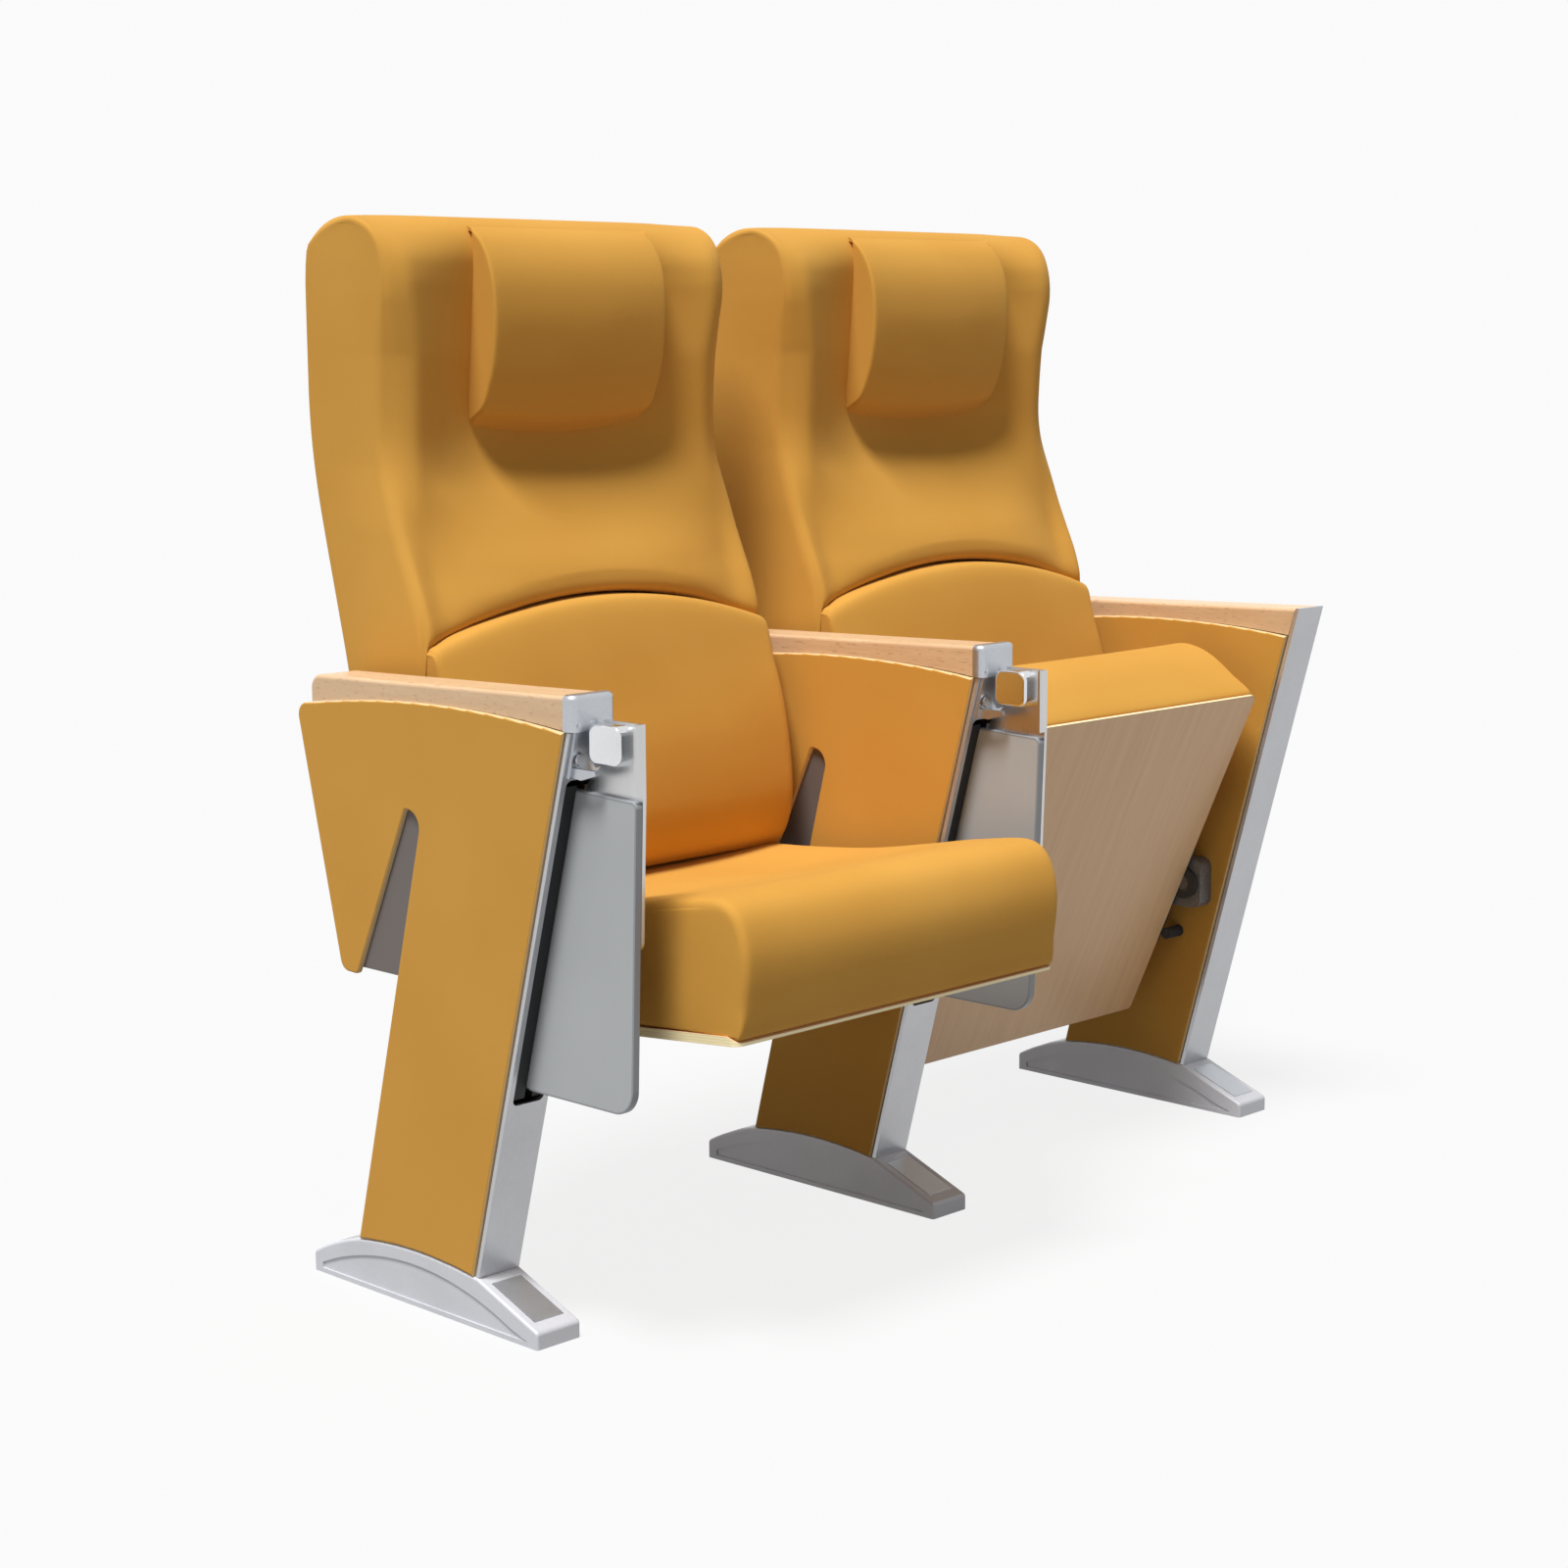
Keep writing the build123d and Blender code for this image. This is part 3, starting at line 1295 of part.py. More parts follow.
def make_back_bolts():
    """Hexagon bolts through the back brackets, panels and core walls."""
    with BuildPart() as bolts:
        for x in seats.values():
            for side in (-1, 1):
                face = x + side * (seat_gap - back_bracket_plate)
                with BuildSketch(side_plane(face)):
                    with Locations(*back_bolt_places()):
                        RegularPolygon(bolt_head_r, 6)
                extrude(amount=-side * bolt_head)
                with BuildSketch(side_plane(face)):
                    with Locations(*back_bolt_places()):
                        Circle(bolt_r)
                extrude(amount=side * (back_bracket_plate + panel_thickness + core_wall))
    save(bolts, "back_bolts")


def main():
    """Builds every piece."""
    for side, x in standards.items():
        make_foot(side, x)
        make_core(side, x)
        make_strip(side, x)
        make_panel(side, "left", x)
        make_panel(side, "right", x)
        make_armrest(side, x)
    make_foot_screws()
    make_anchor_caps()
    for side in tablet_sides:
        make_hinge_block(side, standards[side])
        make_knuckle(side, standards[side])
        make_bracket(side, standards[side])
        make_board(side, standards[side])
        make_edging(side, standards[side])
        make_tablet_screws(side, standards[side])
    make_hinge_pins()
    make_hinge_screws()
    make_channel_seals()
    for name, x in seats.items():
        tip = seat_tips[name]
        make_seat_cushion(name, x, tip)
        make_seat_pan(name, x, tip)
        make_seat_frame(name, x, tip)
        make_seat_bushes(name, x, tip)
        make_seat_screws(name, x, tip)
        make_back_cushion(name, x)
        make_lumbar_cushion(name, x)
        make_pillow(name, x)
        make_rear_shell(name, x)
    make_pivot_housings()
    make_pivot_pins()
    make_return_springs()
    make_stop_bumpers()
    make_back_frames()
    make_back_brackets()
    make_back_bolts()


main()
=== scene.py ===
import json
import math

import bmesh
import bpy
from mathutils import Matrix, Vector


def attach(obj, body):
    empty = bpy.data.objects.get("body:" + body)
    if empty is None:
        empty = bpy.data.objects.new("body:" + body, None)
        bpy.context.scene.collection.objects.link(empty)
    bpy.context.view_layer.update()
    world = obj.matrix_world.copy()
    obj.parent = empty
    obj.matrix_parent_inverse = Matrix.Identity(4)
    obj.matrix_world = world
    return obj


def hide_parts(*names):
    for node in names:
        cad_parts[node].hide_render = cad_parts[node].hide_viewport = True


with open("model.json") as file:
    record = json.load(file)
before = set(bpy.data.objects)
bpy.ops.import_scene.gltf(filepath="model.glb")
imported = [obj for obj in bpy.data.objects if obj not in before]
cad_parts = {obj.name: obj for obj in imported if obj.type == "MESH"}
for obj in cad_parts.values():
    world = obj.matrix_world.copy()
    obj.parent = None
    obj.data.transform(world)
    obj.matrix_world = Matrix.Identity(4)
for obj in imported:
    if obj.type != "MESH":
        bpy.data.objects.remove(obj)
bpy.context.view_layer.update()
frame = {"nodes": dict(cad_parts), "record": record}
nodes = frame["nodes"]
scene = bpy.context.scene
scene.view_settings.view_transform = "Standard"

# Object, metres: spacing of the standards, the seats' pivot and how far a seat tips.
PITCH = 0.56
PIVOT = Vector((0.0, -0.1045, 0.286))
TIP = math.radians(61.0)

# Seat pan, seat down: its slope, and its lower front edge in millimetres.
PAN_SLOPE = math.radians(5.0)
PAN_EDGE_Y = -363.0
PAN_EDGE_Z = 310.2

# Half widths of the back, the lumbar seam and a pillow, and the wings' top, millimetres.
BACK_HALF = 242.0
SEAM_HALF = 232.0
PILLOW_HALF = 117.0
WING_TOP = 1008.0

# Light: strength and spread of the key, fill from all round, light sent up by the floor.
KEY = 4.15
KEY_SPREAD = math.radians(18.0)
KEY_PLACE = (-1.22, -0.40, 3.6)
KEY_TARGET = (0.0, 0.0, 0.5)
FILL = 0.22
BOUNCE = 0.30
WHITE = (0.960, 0.960, 0.960, 1)

# Floor, metres: half its side, how far it lies under the feet, and where its shadow fades out.
FLOOR_HALF = 14
FLOOR_DROP = 0.0004
SHADOW_SHARE = 0.12
SHADOW_FADE = (0.8, 2.0)

# Camera: turn in degrees, lens and sensor in millimetres, place in metres.
CAMERA_TURN = (45.348, 8.848, -0.373)
CAMERA_LENS = 65.63
CAMERA_SENSOR = 36.0
CAMERA_PLACE = (-2.25497, -2.15386, 0.94008)


# ------------------------------------------------------------------ camera, light
def make_camera():
    """Camera at the photograph's place and lens."""
    yaw, pitch, roll = (math.radians(turn) for turn in CAMERA_TURN)
    flat = math.cos(pitch)
    forward = Vector((math.sin(yaw) * flat, math.cos(yaw) * flat, -math.sin(pitch)))
    level = Vector((math.cos(yaw), -math.sin(yaw), 0.0))
    over = level.cross(forward)
    right = level * math.cos(roll) + over * math.sin(roll)
    up = over * math.cos(roll) - level * math.sin(roll)
    data = bpy.data.cameras.new("camera")
    data.lens = CAMERA_LENS
    data.sensor_width = CAMERA_SENSOR
    data.dof.use_dof = False
    camera = bpy.data.objects.new("camera", data)
    scene.collection.objects.link(camera)
    turn = Matrix((right, up, -forward)).transposed().to_4x4()
    camera.matrix_world = Matrix.Translation(CAMERA_PLACE) @ turn
    scene.camera = camera


def make_key():
    """The one lamp: soft, steep, from the left and a little in front."""
    data = bpy.data.lights.new("key", "SUN")
    data.energy = KEY
    data.angle = KEY_SPREAD
    light = bpy.data.objects.new("key", data)
    scene.collection.objects.link(light)
    light.location = KEY_PLACE
    aim = Vector(KEY_TARGET) - Vector(KEY_PLACE)
    light.rotation_euler = aim.to_track_quat("-Z", "Y").to_euler()
    light.visible_camera = False


def make_world():
    """White surroundings for what looks at them, a softer fill for what they light."""
    world = bpy.data.worlds.new("studio")
    scene.world = world
    world.use_nodes = True
    tree = world.node_tree
    tree.nodes.clear()
    out = tree.nodes.new("ShaderNodeOutputWorld")
    seen = tree.nodes.new("ShaderNodeBackground")
    seen.inputs["Color"].default_value = WHITE
    fill = tree.nodes.new("ShaderNodeBackground")
    fill.inputs["Color"].default_value = (1.0, 1.0, 1.0, 1)
    fill.inputs["Strength"].default_value = FILL
    path = tree.nodes.new("ShaderNodeLightPath")
    some = tree.nodes.new("ShaderNodeMath")
    some.operation = "MAXIMUM"
    any_of = tree.nodes.new("ShaderNodeMath")
    any_of.operation = "MAXIMUM"
    mix = tree.nodes.new("ShaderNodeMixShader")
    link = tree.links.new
    link(path.outputs["Is Camera Ray"], some.inputs[0])
    link(path.outputs["Is Transmission Ray"], some.inputs[1])
    link(some.outputs[0], any_of.inputs[0])
    link(path.outputs["Is Glossy Ray"], any_of.inputs[1])
    link(any_of.outputs[0], mix.inputs[0])
    link(fill.outputs[0], mix.inputs[1])
    link(seen.outputs[0], mix.inputs[2])
    link(mix.outputs[0], out.inputs["Surface"])


def make_floor():
    """Plain pale floor that keeps the object's soft shadow."""
    mesh = bpy.data.meshes.new("floor")
    corners = [(-1, -1), (1, -1), (1, 1), (-1, 1)]
    mesh.from_pydata([(x * FLOOR_HALF, y * FLOOR_HALF, 0) for x, y in corners], [], [(0, 1, 2, 3)])
    floor = bpy.data.objects.new("floor", mesh)
    floor.location = (0, 0, -FLOOR_DROP)
    scene.collection.objects.link(floor)
    mat = bpy.data.materials.new("floor")
    mat.use_nodes = True
    tree = mat.node_tree
    tree.nodes.clear()
    link = tree.links.new
    out = tree.nodes.new("ShaderNodeOutputMaterial")
    path = tree.nodes.new("ShaderNodeLightPath")
    coords = tree.nodes.new("ShaderNodeTexCoord")
    glow = tree.nodes.new("ShaderNodeEmission")
    glow.inputs["Color"].default_value = WHITE
    matte = tree.nodes.new("ShaderNodeBsdfDiffuse")
    matte.inputs["Color"].default_value = (0.66, 0.67, 0.67, 1)
    far = tree.nodes.new("ShaderNodeVectorMath")
    far.operation = "LENGTH"
    link(coords.outputs["Object"], far.inputs[0])
    share = tree.nodes.new("ShaderNodeMapRange")
    share.inputs["From Min"].default_value = SHADOW_FADE[0]
    share.inputs["From Max"].default_value = SHADOW_FADE[1]
    share.inputs["To Min"].default_value = SHADOW_SHARE
    share.inputs["To Max"].default_value = 0.0
    link(far.outputs["Value"], share.inputs["Value"])
    seen = tree.nodes.new("ShaderNodeMixShader")
    link(share.outputs[0], seen.inputs[0])
    link(glow.outputs[0], seen.inputs[1])
    link(matte.outputs[0], seen.inputs[2])
    body = tree.nodes.new("ShaderNodeBsdfDiffuse")
    body.inputs["Color"].default_value = (BOUNCE, BOUNCE, BOUNCE, 1)
    shown = tree.nodes.new("ShaderNodeMath")
    shown.operation = "MAXIMUM"
    link(path.outputs["Is Camera Ray"], shown.inputs[0])
    link(path.outputs["Is Glossy Ray"], shown.inputs[1])
    pick = tree.nodes.new("ShaderNodeMixShader")
    link(shown.outputs[0], pick.inputs[0])
    link(body.outputs[0], pick.inputs[1])
    link(seen.outputs[0], pick.inputs[2])
    link(pick.outputs[0], out.inputs["Surface"])
    mesh.materials.append(mat)


# --------------------------------------------------------------------- materials
def linear(r, g, b):
    """sRGB 0..255 to the shader's own values."""
    out = []
    for value in (r, g, b):
        v = value / 255.0
        out.append(v / 12.92 if v <= 0.04045 else ((v + 0.055) / 1.055) ** 2.4)
    return (*out, 1.0)


class Shader:
    """Small helper round one node tree."""

    def __init__(self, name, roughness=0.5, metallic=0.0):
        self.mat = bpy.data.materials.new(name)
        self.mat.use_nodes = True
        self.tree = self.mat.node_tree
        self.bsdf = self.tree.nodes["Principled BSDF"]
        self.bsdf.inputs["Roughness"].default_value = roughness
        self.bsdf.inputs["Metallic"].default_value = metallic
        self.coords = self.tree.nodes.new("ShaderNodeTexCoord")
        self.place = self.coords.outputs["Object"]
        self.normal = self.coords.outputs["Normal"]

    def link(self, a, b):
        self.tree.links.new(a, b)

    def put(self, socket, value):
        if isinstance(value, bpy.types.NodeSocket):
            self.link(value, socket)
        else:
            socket.default_value = value

    def math(self, operation, a, b=0.0, c=0.0):
        node = self.tree.nodes.new("ShaderNodeMath")
        node.operation = operation
        self.put(node.inputs[0], a)
        self.put(node.inputs[1], b)
        self.put(node.inputs[2], c)
        return node.outputs[0]

    def scaled(self, vector, scale):
        node = self.tree.nodes.new("ShaderNodeMapping")
        self.put(node.inputs["Vector"], vector)
        node.inputs["Scale"].default_value = scale
        return node.outputs[0]

    def turned(self, vector, angles):
        node = self.tree.nodes.new("ShaderNodeMapping")
        self.put(node.inputs["Vector"], vector)
        node.inputs["Rotation"].default_value = angles
        return node.outputs[0]

    def parts(self, vector):
        node = self.tree.nodes.new("ShaderNodeSeparateXYZ")
        self.put(node.inputs[0], vector)
        return node.outputs

    def noise(self, vector, scale, detail=3.0, rough=0.5):
        node = self.tree.nodes.new("ShaderNodeTexNoise")
        self.put(node.inputs["Vector"], vector)
        node.inputs["Scale"].default_value = scale
        node.inputs["Detail"].default_value = detail
        node.inputs["Roughness"].default_value = rough
        return node.outputs["Fac"]

    def spread(self, value, low, high, to_low=0.0, to_high=1.0):
        node = self.tree.nodes.new("ShaderNodeMapRange")
        self.put(node.inputs["Value"], value)
        node.inputs["From Min"].default_value = low
        node.inputs["From Max"].default_value = high
        node.inputs["To Min"].default_value = to_low
        node.inputs["To Max"].default_value = to_high
        return node.outputs[0]

    def mix(self, factor, a, b, blend="MIX"):
        node = self.tree.nodes.new("ShaderNodeMix")
        node.data_type = "RGBA"
        node.blend_type = blend
        self.put(node.inputs[0], factor)
        self.put(node.inputs[6], a)
        self.put(node.inputs[7], b)
        return node.outputs[2]

    def bump(self, height, distance, strength):
        node = self.tree.nodes.new("ShaderNodeBump")
        self.put(node.inputs["Height"], height)
        node.inputs["Distance"].default_value = distance
        node.inputs["Strength"].default_value = strength
        return node.outputs[0]

    def colour(self, value):
        self.put(self.bsdf.inputs["Base Color"], value)

    def facing(self):
        """(how much the surface faces X, Y, Z) as absolute values."""
        node = self.tree.nodes.new("ShaderNodeVectorMath")
        node.operation = "ABSOLUTE"
        self.link(self.normal, node.inputs[0])
        return self.parts(node.outputs[0])

    def flat_uv(self):
        """Two coordinates along the surface, from the axis plane it faces most."""
        fx, fy, fz = self.facing()
        x, y, z = self.parts(self.place)
        is_x = self.math("GREATER_THAN", fx, self.math("MAXIMUM", fy, fz))
        is_z = self.math("GREATER_THAN", fz, self.math("MAXIMUM", fx, fy))
        u = self.math("ADD", x, self.math("MULTIPLY", is_x, self.math("SUBTRACT", y, x)))
        v = self.math("ADD", z, self.math("MULTIPLY", is_z, self.math("SUBTRACT", y, z)))
        return u, v


OCHRE = linear(210, 154, 65)
OCHRE_DEEP = linear(202, 145, 57)
OCHRE_PALE = linear(217, 163, 75)


def weave(shader, pitch):
    """Plain weave height, 0..1, along the surface."""
    u, v = shader.flat_uv()
    step = 2 * math.pi / pitch
    a = shader.math("SINE", shader.math("MULTIPLY", u, step))
    b = shader.math("SINE", shader.math("MULTIPLY", v, step))
    return shader.math("MULTIPLY_ADD", shader.math("MULTIPLY", a, b), 0.5, 0.5)


def cloth_material(name, pitch=0.0016, edge=None):
    """Ochre woven cloth: weave, fibre noise, slow tone changes and a little sheen."""
    s = Shader(name, roughness=0.82)
    threads = weave(s, pitch)
    fibre = s.noise(s.place, 900.0, 2.0, 0.6)
    slow = s.noise(s.place, 5.5, 2.0)
    tone = s.mix(s.spread(slow, 0.3, 0.7), OCHRE_DEEP, OCHRE_PALE)
    tone = s.mix(0.62, tone, OCHRE)
    thread_tone = s.spread(s.math("ADD", threads, s.math("MULTIPLY", fibre, 0.6)), 0.1, 1.3, 0.90, 1.05)
    grey = s.tree.nodes.new("ShaderNodeCombineColor")
    for socket in grey.inputs:
        s.link(thread_tone, socket)
    tone = s.mix(1.0, tone, grey.outputs[0], "MULTIPLY")
    s.bsdf.inputs["Sheen Weight"].default_value = 0.12
    s.bsdf.inputs["Sheen Roughness"].default_value = 0.45
    s.bsdf.inputs["Sheen Tint"].default_value = linear(255, 226, 160)
    s.bsdf.inputs["Specular IOR Level"].default_value = 0.25
    height = s.math("MULTIPLY_ADD", fibre, 0.5, threads)
    s.link(s.bump(height, 0.00022, 0.55), s.bsdf.inputs["Normal"])
    s.put(s.bsdf.inputs["Roughness"], s.spread(fibre, 0.3, 0.7, 0.76, 0.92))
    if edge is not None:
        fx, _, _ = s.facing()
        side = s.spread(fx, 0.60, 0.72)
        tone = s.mix(side, edge, tone)
    s.colour(tone)
    return s.mat


def wood_material(name, light, dark, along, ply=None, rough=0.42, flecked=0.30):
    """Beech: long faint grain along one axis, short flecks, optional ply lines."""
    s = Shader(name, roughness=rough)
    place = s.place
    if along.get("turn"):
        place = s.turned(place, along["turn"])
    stretched = s.scaled(place, along["scale"])
    figure = s.noise(stretched, 9.0, 4.0, 0.55)
    fine = s.noise(stretched, 55.0, 3.0, 0.6)
    flecks = s.noise(s.scaled(place, along["fleck"]), 60.0, 1.0, 0.4)
    slow = s.noise(place, 3.0, 1.0)
    level = s.math("MULTIPLY_ADD", fine, 0.45, s.math("MULTIPLY_ADD", slow, 0.4, figure))
    tone = s.mix(s.spread(level, 0.55, 1.25), dark, light)
    spot = s.spread(flecks, 0.63, 0.72)
    tone = s.mix(s.math("MULTIPLY", spot, flecked), tone, linear(120, 82, 52))
    if ply is not None:
        direction, middle, pitch, pale = ply
        across = s.tree.nodes.new("ShaderNodeVectorMath")
        across.operation = "DOT_PRODUCT"
        s.link(s.place, across.inputs[0])
        across.inputs[1].default_value = direction
        level = s.math("SUBTRACT", across.outputs["Value"], middle)
        stripe = s.math("SINE", s.math("MULTIPLY", level, 2 * math.pi / pitch))
        layer = s.mix(s.spread(stripe, -0.9, 0.2), linear(246, 222, 170), pale)
        side = s.tree.nodes.new("ShaderNodeVectorMath")
        side.operation = "DOT_PRODUCT"
        s.link(s.normal, side.inputs[0])
        side.inputs[1].default_value = direction
        is_edge = s.spread(s.math("ABSOLUTE", side.outputs["Value"]), 0.35, 0.6, 1.0, 0.0)
        tone = s.mix(is_edge, tone, layer)
    s.colour(tone)
    s.bsdf.inputs["Coat Weight"].default_value = 0.18
    s.bsdf.inputs["Coat Roughness"].default_value = 0.25
    s.put(s.bsdf.inputs["Roughness"], s.spread(fine, 0.3, 0.7, rough - 0.06, rough + 0.08))
    s.link(s.bump(s.math("ADD", fine, figure), 0.00012, 0.4), s.bsdf.inputs["Normal"])
    return s.mat


def metal_material(name, colour, rough, brush=None, grain=700.0, depth=0.00008, metallic=1.0):
    """Metal with brush marks along one direction or a cast grain."""
    s = Shader(name, roughness=rough, metallic=metallic)
    slow = s.noise(s.place, 14.0, 3.0)
    if brush:
        marks = s.noise(s.scaled(s.place, brush), 100.0, 3.0, 0.65)
    else:
        marks = s.noise(s.place, grain, 2.0)
    dark = tuple(v * 0.90 for v in colour[:3]) + (1.0,)
    tone = s.mix(s.spread(slow, 0.3, 0.7), dark, colour)
    tone = s.mix(s.spread(marks, 0.25, 0.75, 0.0, 0.12), tone, (1.0, 1.0, 1.0, 1.0))
    s.colour(tone)
    total = s.math("MULTIPLY_ADD", slow, 0.5, marks)
    s.put(s.bsdf.inputs["Roughness"], s.spread(total, 0.4, 1.1, rough * 0.82, rough * 1.22))
    s.link(s.bump(marks, depth, 0.5), s.bsdf.inputs["Normal"])
    return s.mat


def plastic_material(name, colour, rough, stipple=900.0, depth=0.00006):
    """Moulded or laminated plastic: faint stipple and slow tone changes."""
    s = Shader(name, roughness=rough)
    slow = s.noise(s.place, 7.0, 2.0)
    fine = s.noise(s.place, stipple, 2.0, 0.6)
    dark = tuple(v * 0.93 for v in colour[:3]) + (1.0,)
    tone = s.mix(s.spread(slow, 0.3, 0.7), dark, colour)
    s.colour(tone)
    s.put(s.bsdf.inputs["Roughness"], s.spread(fine, 0.3, 0.7, rough - 0.05, rough + 0.07))
    s.link(s.bump(fine, depth, 0.5), s.bsdf.inputs["Normal"])
    return s.mat


BEECH = linear(228, 194, 154)
BEECH_DARK = linear(210, 172, 132)
ALONG_Y = {"scale": (12.0, 1.0, 12.0), "fleck": (9.0, 1.6, 9.0)}
ALONG_Z = {"scale": (12.0, 12.0, 1.0), "fleck": (9.0, 9.0, 1.6)}
BRUSHED_Z = (6.0, 6.0, 0.15)


def seat_normal(tip):
    """Upward normal of a seat pan, its slope and tip included."""
    turn = tip + PAN_SLOPE
    return (0.0, math.sin(turn), math.cos(turn))


def make_materials():
    """One material for each slot of the record, and one for each seat pan."""
    slots = {}
    for name in ("seat_cloth", "back_cloth", "lumbar_cloth", "pillow_cloth"):
        slots[name] = cloth_material(name)
    slots["panel_cloth"] = cloth_material("panel_cloth", pitch=0.0013, edge=linear(232, 200, 150))
    slots["armrest_beech"] = wood_material("armrest_beech", BEECH, BEECH_DARK, ALONG_Y)
    slots["shell_beech"] = wood_material(
        "shell_beech", linear(214, 172, 126), linear(190, 146, 102), ALONG_Z
    )
    slots["foot_cast"] = metal_material(
        "foot_cast", linear(208, 209, 215), 0.42, grain=520.0, depth=0.00015, metallic=0.12
    )
    slots["cap_plastic"] = metal_material("cap_plastic", linear(190, 194, 199), 0.48, grain=900.0)
    slots["strip_aluminium"] = metal_material(
        "strip_aluminium", linear(196, 197, 201), 0.34, brush=BRUSHED_Z, metallic=0.7
    )
    slots["core_steel"] = plastic_material("core_steel", linear(108, 100, 96), 0.5)
    slots["hinge_cast"] = metal_material(
        "hinge_cast", linear(186, 190, 196), 0.36, grain=600.0, depth=0.00012
    )
    slots["hinge_chrome"] = metal_material(
        "hinge_chrome", linear(226, 228, 230), 0.12, grain=300.0, depth=0.00003
    )
    slots["bracket_steel"] = metal_material(
        "bracket_steel", linear(206, 206, 206), 0.30, brush=BRUSHED_Z
    )
    slots["tablet_laminate"] = plastic_material("tablet_laminate", linear(180, 183, 184), 0.42)
    slots["tablet_edge"] = plastic_material("tablet_edge", linear(150, 153, 157), 0.38)
    slots["frame_steel"] = plastic_material("frame_steel", linear(40, 39, 38), 0.5)
    slots["pin_steel"] = metal_material("pin_steel", linear(100, 98, 96), 0.35, grain=400.0)
    slots["screw_steel"] = metal_material("screw_steel", linear(184, 186, 190), 0.30, grain=400.0)
    slots["spring_steel"] = metal_material("spring_steel", linear(96, 98, 108), 0.35, grain=400.0)
    slots["housing_cast"] = metal_material(
        "housing_cast", linear(98, 94, 90), 0.46, grain=500.0, depth=0.00015, metallic=0.4
    )
    slots["nylon"] = plastic_material("nylon", linear(56, 54, 53), 0.5)
    slots["bumper_rubber"] = plastic_material("bumper_rubber", linear(32, 32, 33), 0.7)
    # Near-black lips along the tablet channel: a dark part put where the channel is only in shade, so
    # this is painted shade.
    slots["seal_rubber"] = plastic_material("seal_rubber", linear(26, 27, 29), 0.6)
    for side, tip in (("left", 0.0), ("right", TIP)):
        up = seat_normal(tip)
        middle = PIVOT.dot(Vector(up))
        turn = (tip + PAN_SLOPE, 0.0, 0.0)
        slots[f"pan_{side}"] = wood_material(
            f"pan_{side}",
            linear(250, 206, 156),
            linear(236, 188, 138),
            {"scale": (14.0, 0.5, 14.0), "fleck": (9.0, 1.6, 9.0), "turn": turn},
            ply=(up, middle, 0.0026, linear(255, 243, 196)),
            flecked=0.0,
        )
    return slots


def dress_nodes(slots):
    """Puts the materials on the CAD nodes' own slots; their shapes stay."""
    by_node = {row["node"]: row["material_slot"] for row in frame["record"]["subparts"]}
    for name, obj in nodes.items():
        slot = by_node[name]
        mat = slots[f"pan_{name[9:]}"] if slot == "pan_beech" else slots[slot]
        if not obj.data.materials:
            obj.data.materials.append(mat)
        for holder in obj.material_slots:
            holder.material = mat


# ------------------------------------------------------------------ soft pieces
def new_object(name, mesh):
    """Object of a mesh, in the scene."""
    obj = bpy.data.objects.new(name, mesh)
    scene.collection.objects.link(obj)
    return obj


def frozen(obj):
    """The object's mesh with its modifiers applied."""
    graph = bpy.context.evaluated_depsgraph_get()
    graph.update()
    return bpy.data.meshes.new_from_object(obj.evaluated_get(graph))


def swap_mesh(obj, mesh):
    """Gives the object another mesh and drops its modifiers and old mesh."""
    old = obj.data
    obj.modifiers.clear()
    obj.data = mesh
    bpy.data.meshes.remove(old)


# Side lines of a back, (height, depth) in millimetres: rear, wing ridge, hollow between.
REAR = (
    (400.0, 147.0), (560.0, 166.0), (645.0, 185.0), (694.0, 197.0), (743.0, 209.0),
    (792.0, 220.0), (841.0, 227.5), (890.0, 230.5), (960.0, 230.5), (1040.0, 230.0),
)
RIDGE = (
    (560.0, 57.0), (640.0, 58.0), (680.0, 73.0), (710.0, 86.0), (745.0, 97.0), (780.0, 104.0),
    (812.0, 109.0), (843.0, 111.0), (890.0, 109.0), (940.0, 105.0), (985.0, 103.0), (1008.0, 103.0),
)
HOLLOW = (
    (560.0, 52.0), (640.0, 50.0), (680.0, 54.0), (710.0, 68.0), (745.0, 90.0), (780.0, 111.0),
    (812.0, 131.0), (843.0, 142.0), (873.0, 143.0), (923.0, 138.5), (977.0, 134.0), (1008.0, 131.0),
)
# How far a point across the back is from the hollow (0) to the ridge of the wing (1).
WING = (
    (0.0, 0.0), (60.0, 0.02), (100.0, 0.08), (125.0, 0.16), (160.0, 0.43),
    (190.0, 0.78), (206.0, 0.97), (215.0, 1.0), (226.0, 0.85), (240.0, 0.62), (250.0, 0.6),
)
# Over the top, (depth, height), at the side and in the middle.
SIDE_TOP = (
    (105.0, 1012.0), (109.0, 1026.0), (121.0, 1043.0), (141.0, 1056.0),
    (168.0, 1063.5), (193.0, 1060.0), (214.0, 1050.0), (229.0, 1035.0),
)
HOLLOW_TOP = (
    (130.5, 1012.0), (129.0, 1025.0), (130.0, 1040.0), (137.0, 1054.0),
    (153.0, 1063.0), (174.0, 1066.0), (202.0, 1058.0), (228.0, 1038.0),
)
# Front of a pillow, (depth, rise).
LENS = (
    (141.0, 0.0), (127.0, 8.0), (114.0, 17.0), (105.0, 35.0), (98.5, 55.0), (94.0, 82.0), (92.3, 104.0),
    (92.5, 125.0), (95.0, 146.0), (101.5, 166.0), (112.0, 183.0), (123.0, 193.0), (134.0, 199.0),
)


